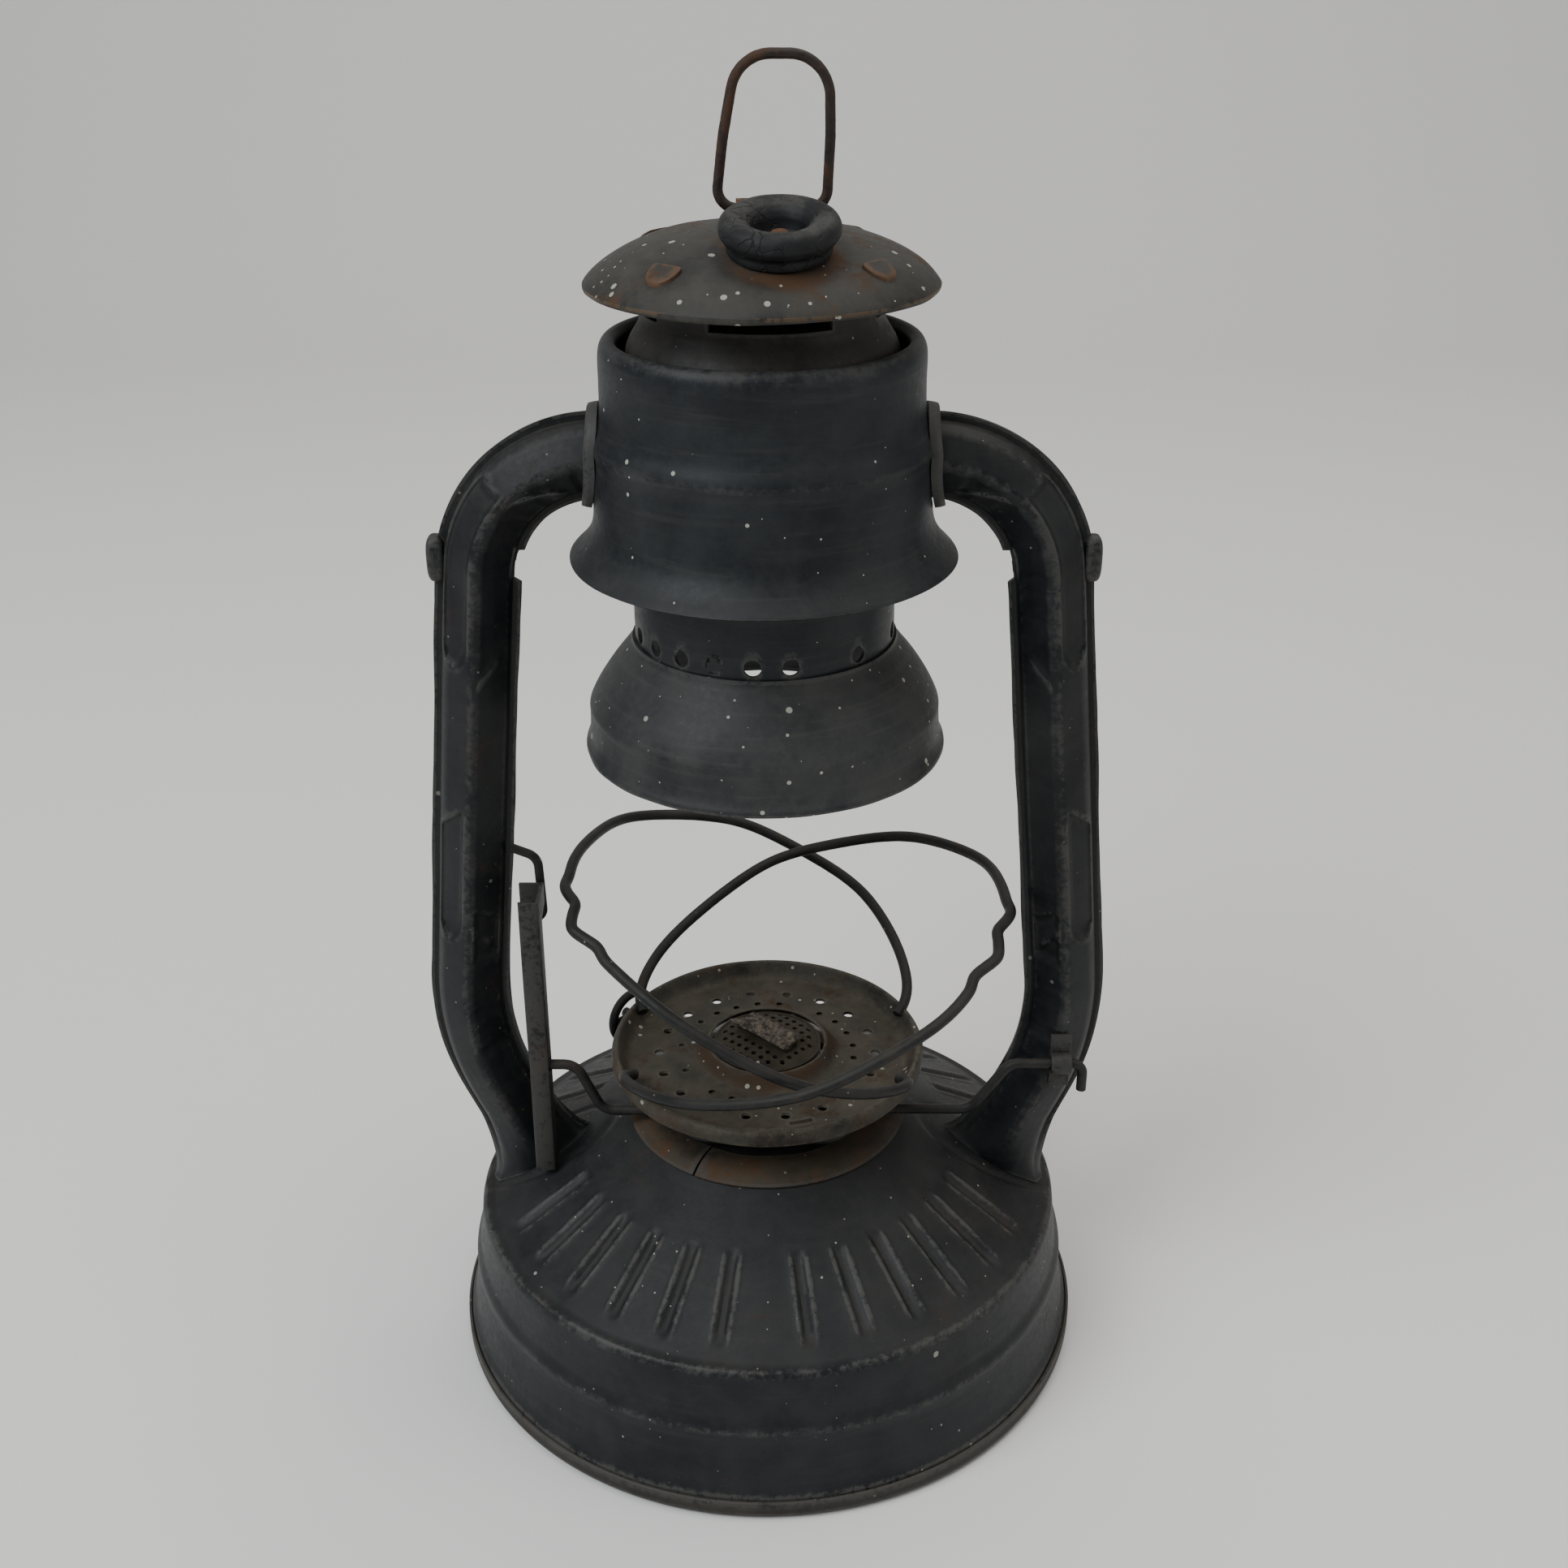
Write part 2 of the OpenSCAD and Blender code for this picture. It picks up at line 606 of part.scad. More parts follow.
module wick() {
    z = 18;
    top = burner_top_z + 3.8;
    color(cotton) burner_frame() difference() {
        translate([-wick_w / 2, -wick_t / 2, z]) cube([wick_w, wick_t, top - z]);
        for (s = [-1, 1]) translate([s * wick_w / 2, 0, top]) rotate([0, 45, 0]) cube([2, 2 * wick_t, 2], center = true);
    }
}

module winder_shaft() {
    color(dark_paint) burner_frame() translate([-wick_w / 2 - 1.5, shaft_off, shaft_z]) rotate([0, 90, 0])
        cylinder(h = winder_reach + wick_w / 2 + 4.2, r = shaft_r);
}

module winder_spurs() {
    teeth = 10;
    color(brass) burner_frame() for (x = spur_at)
        translate([x - 0.4, shaft_off, shaft_z]) rotate([0, 90, 0]) linear_extrude(0.8) difference() {
            polygon([for (i = [0:2 * teeth - 1])
                let(r = i % 2 == 0 ? spur_r : spur_r - 0.7, a = i * 180 / teeth) r * [cos(a), sin(a)]]);
            circle(shaft_r);
        }
}

module winder_loop() {
    color(dark_paint) burner_frame() translate([winder_reach, shaft_off, shaft_z]) rotate([0, 90, 0]) {
        rotate_extrude($fn = 64) translate([loop_r, 0]) circle(shaft_r, $fn = 24);
        translate([0.6, 0, 0]) rotate([0, 90, 0]) cylinder(h = loop_r - 1, r = 1.1, $fn = 24);
    }
}

// ---- Globe plate and guard wires ----

plate_r = plate_d / 2;
hole_r = plate_hole_d / 2;
plate_path = [[hole_r, plate_rim_z + 0.1], [hole_r + 0.8, plate_rim_z + 0.5], [hole_r + 1.6, plate_rim_z - 0.2],
    [hole_r + 3.4, plate_z + 2.5], [hole_r + 4.6, plate_z + 1.9], [plate_r - 5.4, plate_z + 1.1],
    [plate_r - 3.8, plate_z + 2.4], [plate_r - 2.6, plate_rim_z], [plate_r - 1.6, plate_rim_z + 0.6],
    [plate_r - 0.5, plate_rim_z], [plate_r, plate_rim_z - 1.2], [plate_r, plate_z + 2], [plate_r - 0.6, plate_z + 0.9]];

module globe_plate() {
    holes = 18;
    small_holes = 24;
    color(old_paint) difference() {
        spun(plate_path);
        for (i = [0:holes - 1])
            rotate([0, 0, i * 360 / holes]) translate([plate_r - 12.8, 0, plate_z - 2]) cylinder(h = 8, r = 1.3, $fn = 24);
        for (i = [0:small_holes - 1])
            rotate([0, 0, (i + 0.5) * 360 / small_holes]) translate([plate_r - 18.4, 0, plate_z - 2])
                cylinder(h = 8, r = 0.8, $fn = 16);
        translate([-5.5, -plate_r + 5.5, plate_z - 2]) cube([11, 1.6, 8]);
    }
}

guard_r = guard_wire_d / 2;
rim_z = plate_rim_z + guard_r + 0.4;
// Heights of the guards' high points over the globe plate, and their routes round the globe
function guard(points) = [for (p = points) [p[0], p[1], rim_z + p[2]]];
right_route = guard([[-34, -14, -3], [-40.5, -19, 0.8], [-24, -40.5, 5], [10, -53, 17], [45, -43, 32], [62, -10, 42],
    [60, 20, 42], [38, 45, 37], [0, 52, 26], [-30, 35, 7], [-38, 21, 0.5], [-34, 15, -3]]);
left_route = guard([[34, -16, -3], [40.5, -22, 0.8], [30, -35, 4], [7, -46, 15], [-24, -41, 32], [-48, -20, 43.5],
    [-51.5, 12, 47], [-42, 44, 43], [-8, 60, 34], [27, 50, 17.5], [39.5, 28, 3], [40.5, 19, 0.5], [35, 14, -3]]);

module guard_wire_right() {
    color(dark_paint) bent_wire(right_route, [0, 2.2, 12, 22, 22, 18, 18, 22, 22, 12, 2.2, 0], guard_r);
}

module guard_wire_left() {
    color(dark_paint) bent_wire(left_route, [0, 2.2, 8, 18, 22, 20, 20, 20, 22, 20, 7, 2.2, 0], guard_r);
}

// ---- Lift gear ----

lever_foot_z = shoulder_at(norm([abs(lever_x) - lever_w / 2, abs(lever_y + lever_d)])) + 0.8;

module lift_lever() {
    wall = 0.9;
    tab_h = 5.4;
    tab_x = -(line_x(lever_top_z + lever_travel) - tube_u - 0.6);
    side = lever_x + lever_w / 2;
    color(old_paint) difference() {
        union() {
            translate([lever_x - lever_w / 2, lever_y, lever_foot_z]) cube([lever_w, wall, lever_top_z - lever_foot_z]);
            for (x = [lever_x - lever_w / 2, side - wall])
                translate([x, lever_y, lever_foot_z]) cube([wall, lever_d, lever_top_z - lever_foot_z - 12]);
            translate([side - wall, lever_y, lever_top_z - tab_h]) cube([wall, -3 - lever_y, tab_h]);
            translate([tab_x, -3.9, lever_top_z - tab_h]) cube([side - tab_x, 0.9, tab_h]);
        }
        translate([lever_x, hook_y, pivot_z]) rotate([0, 90, 0]) cylinder(h = lever_w, r = lug_r);
    }
}

module lift_wire() {
    hook_x = lever_x + lever_w / 2;
    under = plate_r * 0.58;
    color(dark_paint) bent_wire([
        [lever_x - 0.6, hook_y, pivot_z], [hook_x + 6, hook_y, pivot_z], [hook_x + 12.4, hook_y, run_z],
        [-30, hook_y, run_z], [-17, -under, run_z], [17, -under, run_z], [30, pivot_y, run_z],
        [pivot_x - 23, pivot_y, run_z], [pivot_x - 13, pivot_y, pivot_z], [pivot_x + 5.8, pivot_y, pivot_z],
        [pivot_x + 5.8, pivot_y, pivot_z - 8]], [0, 5, 5, 7, 7, 7, 7, 5, 5, 3, 0], lift_wire_r);
}

// ---- Bell, chimney and cap ----

bell_path = [[flue_r + sheet, bell_top_z], [flue_r + sheet + 0.3, bell_top_z - 1.2], [flue_r + 2.9, bell_top_z - 3.6],
    [(flue_r + bell_r) / 2 - 0.2, bell_top_z - 7.6], [bell_r - 3.5, bell_top_z - 12.6], [bell_r - 1.6, bell_top_z - 16.4],
    [bell_r - 1.6, bell_top_z - 17.6], [bell_r - 1.5, bell_z + 4], [bell_r - 0.9, bell_z + 2.4],
    [bell_r - 0.2, bell_z + 1.5], [bell_r, bell_z + 0.8], [bell_r - 0.1, bell_z]];
joint_z = hood_top_z - 6;            // where the smoke collar meets the chimney tube

module bell() {
    color(old_paint) spun(bell_path);
}

module chimney_tube() {
    color(old_paint) difference() {
        spun([[flue_r, joint_z], [flue_r, bell_top_z - 4]]);
        for (i = [0:flue_holes - 1])
            rotate([0, 0, i * 360 / flue_holes + 4]) translate([flue_r - 4, 0, flue_hole_z])
                rotate([0, 90, 0]) cylinder(h = 8, r = 2, $fn = 32);
    }
}

module smoke_collar() {
    slots = 4;
    sweep = 58;
    color(old_paint) difference() {
        spun([[smoke_r, cap_z + 3.4], [smoke_r, cap_z - 5.4], [smoke_r + 0.9, cap_z - 7.4],
              [flue_r - 0.8, joint_z + 5.8], [flue_r, joint_z + 3], [flue_r, joint_z]]);
        for (i = [0:slots - 1])
            rotate([0, 0, i * 90 - 85 - sweep / 2]) translate([0, 0, neck_slot_z])
                rotate_extrude(angle = sweep, $fn = 96) translate([smoke_r - 3, 0]) square([6, 3.6]);
    }
}

function dome_at(r) = cap_z + 1.8 + dome_h * pow(1 - pow(r / cap_r, 2.6), 0.8);
dome_path = concat(
    [for (i = [0:13]) let(r = cap_r * sin(i * 90 / 13)) [r, dome_at(min(r, cap_r))]],
    [[cap_r - 0.2, cap_z + 0.8], [cap_r - 0.9, cap_z]]);

module cap_pan() {
    color(dark_paint) spun([[smoke_r - sheet, cap_z + 4.2], [smoke_r + 4, cap_z + 4.2],
        [cap_r - 4, cap_z + 1.9], [cap_r - 1.1, cap_z + 1.5]], 0.7);
}

// Places its child on the knob's own axis
module knob_frame() {
    translate(knob_pos) rotate([knob_tilt, 0, 0]) children();
}

rivet_r = 1.6;
strap_rivet_at = [for (s = [-1, 1]) [ring_x + s * 4.5, 5.2]];

module cap_dome() {
    color(old_paint) difference() {
        spun(dome_path);
        knob_frame() translate([0, 0, -6]) cylinder(h = 12, r = rivet_r);
        for (p = strap_rivet_at) translate([p[0], p[1], crown_z - 4]) cylinder(h = 8, r = 1.2);
    }
}

module cap_tabs() {
    at = cap_r * 0.79;
    color(old_paint) difference() {
        for (i = [0:3])
            rotate([0, 0, i * 90 - 39]) translate([at, 0, dome_at(at) - 1]) rotate([0, 27, 0]) intersection() {
                cylinder(h = 1.7, r = 3.9);
                translate([-1.2, -5, 0]) cube([10, 10, 1.7]);
            }
        spun_solid(dome_path, cap_z - 10);
    }
}

module cap_knob() {
    r = knob_d / 2;
    tube = (knob_h - 2.2) / 2;
    color(dark_paint) difference() {
        knob_frame() difference() {
            rotate_extrude() polygon(concat(
                [[0, -5], [r - 1.8, -5], [r - 1.8, 1.9]],
                arc(r - tube, knob_h - tube, tube, -70, 90, 9),
                [[r * 0.55, knob_h - 0.6], [r * 0.49, knob_h - 1.6], [r * 0.42, 3.6], [r * 0.3, 3], [0, 3]]));
            translate([0, 0, -6]) cylinder(h = 20, r = rivet_r);
        }
        spun_solid(dome_path, cap_z - 10);
    }
}

module knob_rivet() {
    color(rusty) knob_frame() {
        translate([0, 0, -1.9]) cylinder(h = 5.2, r = rivet_r);
        translate([0, 0, 3]) cylinder(h = 1.1, r1 = 2.7, r2 = 1.7);
    }
}

bore_r = ring_wire_r + 0.1;

module ring_strap() {
    wall = 0.8;
    reach = 9;
    z = ring_pivot[2];
    color(rusty) difference() {
        translate([ring_x - strap_w / 2, ring_pivot[1], 0]) {
            translate([0, 0, z]) rotate([0, 90, 0]) cylinder(h = strap_w, r = bore_r + wall);
            translate([0, bore_r, z - 5]) cube([strap_w, wall, 5]);
            translate([0, bore_r, crown_z - 3]) cube([strap_w, reach, 3.7]);
        }
        translate([ring_x - strap_w, ring_pivot[1], z]) rotate([0, 90, 0]) cylinder(h = 2 * strap_w, r = bore_r);
        for (p = strap_rivet_at) translate([p[0], p[1], crown_z - 4]) cylinder(h = 8, r = 1.2);
        spun_solid(dome_path, cap_z - 10);
    }
}

module strap_rivets() {
    color(rusty) for (p = strap_rivet_at) translate([p[0], p[1], crown_z]) {
        translate([0, 0, -2]) cylinder(h = 2.8, r = 1.2);
        translate([0, 0, 0.7]) cylinder(h = 0.9, r1 = 2.1, r2 = 1.3);
    }
}

module lift_ring() {
    y = ring_pivot[1];
    z = ring_pivot[2];
    half = ring_w / 2;
    color(dark_paint) bent_wire([
        [ring_x + half, y, z], [ring_x + half + 0.4, y, z + ring_h], [ring_x - half + 5, y, z + ring_h],
        [ring_x - half, y, z]], [4, 8.4, 8.4, 4], ring_wire_r, closed = true);
}

fount_shell();
base_ring();
fount_bottom();
neck_ring();
burner_collar();
filler_neck();
left_tube_front();
left_tube_rear();
right_tube_front();
right_tube_rear();
left_bail_ear();
right_bail_ear();
hood_shell();
left_hood_collar();
right_hood_collar();
hood_guide_ring();
chimney_springs();
burner_base();
burner_gallery();
burner_deck();
wick_tube();
lever_staple();
wire_lug();
filler_cap();
filler_gasket();
wick();
winder_shaft();
winder_spurs();
winder_loop();
globe_plate();
guard_wire_left();
guard_wire_right();
lift_lever();
lift_wire();
bell();
chimney_tube();
smoke_collar();
cap_pan();
cap_dome();
cap_tabs();
cap_knob();
knob_rivet();
ring_strap();
strap_rivets();
lift_ring();
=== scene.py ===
import math

import bmesh
import bpy
import numpy as np
from mathutils import Matrix, Vector


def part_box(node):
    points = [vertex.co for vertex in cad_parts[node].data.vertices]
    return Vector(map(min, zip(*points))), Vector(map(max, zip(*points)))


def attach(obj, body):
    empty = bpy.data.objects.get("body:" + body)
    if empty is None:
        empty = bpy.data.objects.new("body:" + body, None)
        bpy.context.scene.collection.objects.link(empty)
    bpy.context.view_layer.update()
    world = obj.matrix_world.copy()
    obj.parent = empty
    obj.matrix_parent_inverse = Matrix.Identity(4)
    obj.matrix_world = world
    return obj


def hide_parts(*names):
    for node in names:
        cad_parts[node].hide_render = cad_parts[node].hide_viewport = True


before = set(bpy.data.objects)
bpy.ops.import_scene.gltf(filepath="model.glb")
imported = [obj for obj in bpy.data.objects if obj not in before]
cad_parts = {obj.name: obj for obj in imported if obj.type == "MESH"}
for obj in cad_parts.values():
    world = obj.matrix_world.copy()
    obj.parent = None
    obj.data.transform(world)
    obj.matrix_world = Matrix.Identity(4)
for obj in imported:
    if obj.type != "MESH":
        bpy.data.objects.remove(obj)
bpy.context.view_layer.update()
MM = 0.001


# ---- Fuel tank ----
# A drawn tinplate tank: a cone shoulder with a row of pressed flutes, a turned edge and
# a flared skirt with one soft rib. The black paint has gone dull, and dust lies on the shoulder.

def round_off(line, rounds=2):
    """Rounds the corners of a line of points, and keeps its two ends."""
    for _ in range(rounds):
        line = np.asarray(line, float)
        a, b = line[:-1], line[1:]
        cut = np.empty((2 * len(a), line.shape[1]))
        cut[0::2], cut[1::2] = 0.75 * a + 0.25 * b, 0.25 * a + 0.75 * b
        line = np.vstack([line[:1], cut[1:-1], line[-1:]])
    return line


def evenly(line, step):
    """Points along a line no further apart than step, with its own points kept."""
    line = np.asarray(line, float)
    out = [line[0]]
    for p, q in zip(line[:-1], line[1:]):
        n = max(1, int(math.ceil(np.linalg.norm(q - p) / step)))
        out += [p + (q - p) * k / n for k in range(1, n + 1)]
    return np.array(out)


def inner_side(line, wall):
    """The same line moved to the right of its travel by the sheet's thickness."""
    step = np.diff(line, axis=0)
    right = np.stack([step[:, 1], -step[:, 0]], 1) / np.linalg.norm(step, axis=1)[:, None]
    first, last = np.vstack([right[:1], right]), np.vstack([right, right[-1:]])
    middle = first + last
    middle /= np.linalg.norm(middle, axis=1)[:, None]
    reach = np.clip((middle * first).sum(1), 0.5, 1)
    return line + middle * wall / reach[:, None], -middle


def place_mesh(name, mesh):
    """Puts a mesh in the scene as an object that stands at the origin."""
    piece = bpy.data.objects.new(name, mesh)
    bpy.context.scene.collection.objects.link(piece)
    return piece


def mesh_piece(name, points, faces, flat_above=35):
    """Makes a closed mesh object in the lantern's frame, faces outwards, with smooth curves."""
    mesh = bpy.data.meshes.new(name)
    mesh.from_pydata([tuple(p) for p in points], [], [tuple(f) for f in faces])
    piece = place_mesh(name, mesh)
    bm = bmesh.new()
    bm.from_mesh(mesh)
    bmesh.ops.remove_doubles(bm, verts=bm.verts, dist=2e-6)
    bmesh.ops.dissolve_degenerate(bm, edges=bm.edges, dist=1e-7)
    bmesh.ops.recalc_face_normals(bm, faces=bm.faces)
    bm.to_mesh(mesh)
    bm.free()
    mesh.shade_smooth()
    mesh.set_sharp_from_angle(angle=math.radians(flat_above))
    return piece


def dents(angle, z, seed, waves=14, spread=(1, 9), tall=0.06):
    """A soft uneven field from 0 to 1 over a spun sheet, for hand-made dents and waves."""
    rng = np.random.default_rng(seed)
    field = np.zeros(np.broadcast(angle, z).shape)
    for _ in range(waves):
        around = rng.integers(spread[0], spread[1])
        field += rng.uniform(0.4, 1) * np.cos(around * angle + rng.uniform(0, 6.3)) * np.cos(
            z / tall * rng.uniform(0.5, 2.5) * 6.3 + rng.uniform(0, 6.3))
    return 0.5 + 0.5 * np.tanh(field / math.sqrt(waves))


def revolve(name, line, wall, sides=256, press=None, opening=None, span=(0.0, 360.0), flat_above=35):
    """Sheet spun round the lantern's axis. line is its outer side, (radius, height), from the top down.
    press moves the sheet in or out, and opening says which cells of it are cut away."""
    line = np.asarray(line, float)
    inner, outward = inner_side(line, wall)
    inner[:, 0] = np.maximum(inner[:, 0], 0)
    whole = span[1] - span[0] >= 360
    steps = sides if whole else sides + 1
    angle = np.radians(span[0] + (span[1] - span[0]) * np.arange(steps) / sides)
    n = len(line)
    push = np.zeros((n, steps)) if press is None else press(line[:, :1], line[:, 1:], angle[None, :])
    points = []
    for side in (line, inner):
        r = side[:, :1] + outward[:, :1] * push * (side[:, :1] > 1e-9)
        z = side[:, 1:] + outward[:, 1:] * push
        points.append(np.stack([r * np.cos(angle), r * np.sin(angle), np.broadcast_to(z, r.shape)], 2))
    points = np.array(points).reshape(-1, 3)
    at = lambda layer, row, col: layer * n * steps + row * steps + col % steps
    cells = sides
    cut = np.zeros((n + 1, cells + 2), bool)
    cut[0], cut[n] = True, True
    if not whole:
        cut[:, 0], cut[:, cells + 1] = True, True
    if opening is not None:
        mid_z = (line[1:, 1] + line[:-1, 1]) / 2
        mid_r = (line[1:, 0] + line[:-1, 0]) / 2
        mid_a = (np.arange(cells) + 0.5) / cells * (span[1] - span[0]) + span[0]
        cut[1:n, 1:cells + 1] |= opening(mid_r[:, None], mid_z[:, None], mid_a[None, :])
    if whole:
        cut[:, 0], cut[:, cells + 1] = cut[:, cells], cut[:, 1]
    faces = []
    for i in range(1, n):
        for j in range(1, cells + 1):
            if cut[i, j]:
                continue
            a, b, c, d = (i - 1, j - 1), (i, j - 1), (i, j), (i - 1, j)
            faces.append([at(0, *p) for p in (a, b, c, d)])
            faces.append([at(1, *p) for p in (d, c, b, a)])
            for beyond, p, q in ((cut[i - 1, j], d, a), (cut[i + 1, j], b, c), (cut[i, j - 1], a, b),
                                 (cut[i, j + 1], c, d)):
                if beyond:
                    faces.append([at(0, *p), at(0, *q), at(1, *q), at(1, *p)])
    return mesh_piece(name, points, faces, flat_above)


def mark_edges(piece, spread=2):
    """Stores where the metal turns outwards (edge) and inwards (hollow), for wear and for dirt."""
    mesh = piece.data
    count = len(mesh.vertices)
    place, facing = np.empty(count * 3), np.empty(count * 3)
    mesh.vertices.foreach_get("co", place)
    mesh.vertices.foreach_get("normal", facing)
    place, facing = place.reshape(-1, 3), facing.reshape(-1, 3)
    ends = np.empty(len(mesh.edges) * 2, int)
    mesh.edges.foreach_get("vertices", ends)
    a, b = ends.reshape(-1, 2).T
    gap = place[b] - place[a]
    size = np.linalg.norm(gap, axis=1) + 1e-9
    turn = ((facing[b] - facing[a]) * gap).sum(1) / size
    total, shares = np.zeros(count), np.zeros(count)
    for end in (a, b):
        np.add.at(total, end, turn)
        np.add.at(shares, end, 1)
    bend = total / np.maximum(shares, 1)
    for _ in range(spread):
        near, shares = bend.copy(), np.ones(count)
        np.add.at(near, a, bend[b])
        np.add.at(near, b, bend[a])
        np.add.at(shares, a, 1)
        np.add.at(shares, b, 1)
        bend = near / shares
    for label, amount in (("edge", bend), ("hollow", -bend)):
        mesh.attributes.new(label, "FLOAT", "POINT").data.foreach_set("value", np.clip(amount * 6, 0, 1))


def node(tree, kind, inputs=None, **settings):
    """Adds a node; an input given as a socket is linked, and any other is set."""
    made = tree.nodes.new(kind)
    for key, value in settings.items():
        setattr(made, key, value)
    for key, value in (inputs or {}).items():
        if isinstance(value, bpy.types.NodeSocket):
            tree.links.new(value, made.inputs[key])
        else:
            made.inputs[key].default_value = value
    return made


def math_node(tree, operation, *values):
    return node(tree, "ShaderNodeMath", dict(enumerate(values)), operation=operation).outputs[0]


def times(tree, *values):
    return math_node(tree, "MULTIPLY", *values)


def plus(tree, *values):
    return math_node(tree, "ADD", *values)


def minus(tree, *values):
    return math_node(tree, "SUBTRACT", *values)


def in_mm(tree, coords):
    """The place on the piece, in millimetres."""
    return node(tree, "ShaderNodeVectorMath", {0: coords["Object"], 3: 1000.0},
                operation="SCALE").outputs[0]


def ramp(tree, value, low, high, to_low=0.0, to_high=1.0):
    return node(tree, "ShaderNodeMapRange", {"Value": value, "From Min": low, "From Max": high,
                "To Min": to_low, "To Max": to_high}, interpolation_type="SMOOTHSTEP").outputs["Result"]


def blend_colour(tree, amount, under, over):
    return node(tree, "ShaderNodeMix", {0: amount, 6: under, 7: over}, data_type="RGBA").outputs[2]


def old_metal_group():
    """Old painted tinplate: mottled paint, dust that settles, bare edges, rust, and spots of pale paint."""
    tree = bpy.data.node_groups.new("Old Painted Tinplate", "ShaderNodeTree")
    for name in ("Paint", "Shade", "Dust", "Bare", "Rust", "Spot"):
        tree.interface.new_socket(name, in_out="INPUT", socket_type="NodeSocketColor")
    for name in ("Dusty", "Settled", "Worn", "Rusty", "Spotted", "Speckled", "Streaked", "Start",
                 "Stain Reach", "Stain Width"):
        tree.interface.new_socket(name, in_out="INPUT", socket_type="NodeSocketFloat")
    tree.interface.new_socket("Stain Centre", in_out="INPUT", socket_type="NodeSocketVector")
    tree.interface.new_socket("Color", in_out="OUTPUT", socket_type="NodeSocketColor")
    tree.interface.new_socket("Roughness", in_out="OUTPUT", socket_type="NodeSocketFloat")
    tree.interface.new_socket("Height", in_out="OUTPUT", socket_type="NodeSocketFloat")
    given = tree.nodes.new("NodeGroupInput").outputs
    coords = node(tree, "ShaderNodeTexCoord").outputs
    here = in_mm(tree, coords)
    start = node(tree, "ShaderNodeCombineXYZ",
                 {0: given["Start"], 1: given["Start"], 2: given["Start"]}).outputs[0]
    place = node(tree, "ShaderNodeVectorMath", {0: here, 1: start}, operation="ADD").outputs[0]
    facing = node(tree, "ShaderNodeSeparateXYZ", {0: coords["Normal"]}).outputs[2]
    edge = node(tree, "ShaderNodeAttribute", attribute_name="edge").outputs["Fac"]
    hollow = node(tree, "ShaderNodeAttribute", attribute_name="hollow").outputs["Fac"]

    def noise(scale, detail, roughness=0.6, vector=place, warp=0.0):
        return node(tree, "ShaderNodeTexNoise", {"Vector": vector, "Scale": scale, "Detail": detail,
                    "Roughness": roughness, "Distortion": warp}).outputs[0]

    broad, patch, blotch = noise(0.021, 3), noise(0.085, 6, 0.68), noise(0.055, 7, 0.72, warp=0.6)
    fine, grain = noise(0.62, 5, 0.7), noise(3.2, 3, 0.6)
    along = node(tree, "ShaderNodeVectorMath", {0: place, 1: (0.03, 0.03, 0.55)},
                 operation="MULTIPLY").outputs[0]
    streak = noise(1.0, 4, 0.6, along, 0.4)
    mottle = plus(tree, times(tree, broad, 0.6), times(tree, patch, 0.6))
    colour = blend_colour(tree, ramp(tree, mottle, 0.42, 0.78), given["Paint"], given["Shade"])
    streaks = times(tree, ramp(tree, streak, 0.5, 0.72), given["Streaked"])
    colour = blend_colour(tree, streaks, colour, given["Dust"])
    # dust lies on what faces up, in the hollows, and in a patchy film
    film = times(tree, ramp(tree, plus(tree, patch, times(tree, fine, 0.35)), 0.48, 0.92),
                     given["Dusty"])
    settled = times(tree, times(tree, ramp(tree, facing, 0.15, 1.0), given["Settled"]),
                        ramp(tree, blotch, 0.32, 0.62, 0.35, 1.0))
    caught = times(tree, times(tree, hollow, given["Settled"]), ramp(tree, fine, 0.3, 0.6))
    dust = plus(tree, plus(tree, film, settled), caught)
    dust = node(tree, "ShaderNodeClamp", {0: dust, 1: 0.0, 2: 0.92}).outputs[0]
    colour = blend_colour(tree, dust, colour, given["Dust"])
    # rust comes through in patches with soft brown margins
    rusty = plus(tree, blotch, times(tree, fine, 0.25))
    rusty = plus(tree, rusty, times(tree, given["Rusty"], 0.35))
    rust = times(tree, ramp(tree, rusty, 0.74, 0.92),
                 math_node(tree, "MINIMUM", times(tree, given["Rusty"], 3.0), 1.0))
    # a ring of rust creeps out from a foot that holds the damp
    off = node(tree, "ShaderNodeVectorMath", {0: here, 1: given["Stain Centre"]},
               operation="SUBTRACT").outputs[0]
    off = node(tree, "ShaderNodeVectorMath", {0: off, 1: (1.0, 1.0, 0.0)}, operation="MULTIPLY").outputs[0]
    off = node(tree, "ShaderNodeVectorMath", {0: off}, operation="LENGTH").outputs["Value"]
    off = math_node(tree, "ABSOLUTE", minus(tree, off, given["Stain Reach"]))
    near = minus(tree, 1.0, math_node(tree, "DIVIDE", off, given["Stain Width"]))
    stain = ramp(tree, plus(tree, near, times(tree, minus(tree, blotch, 0.5), 3.0)), 0.25, 1.15, 0.0, 0.85)
    rust = math_node(tree, "MAXIMUM", rust, stain)
    colour = blend_colour(tree, rust, colour, given["Rust"])
    # paint is rubbed through to dull metal along the edges
    rub = times(tree, edge, ramp(tree, plus(tree, fine, times(tree, patch, 0.6)), 0.55, 1.0, 0.25, 1.6))
    worn = times(tree, ramp(tree, rub, 0.22, 1.0), given["Worn"])
    colour = blend_colour(tree, worn, colour, given["Bare"])
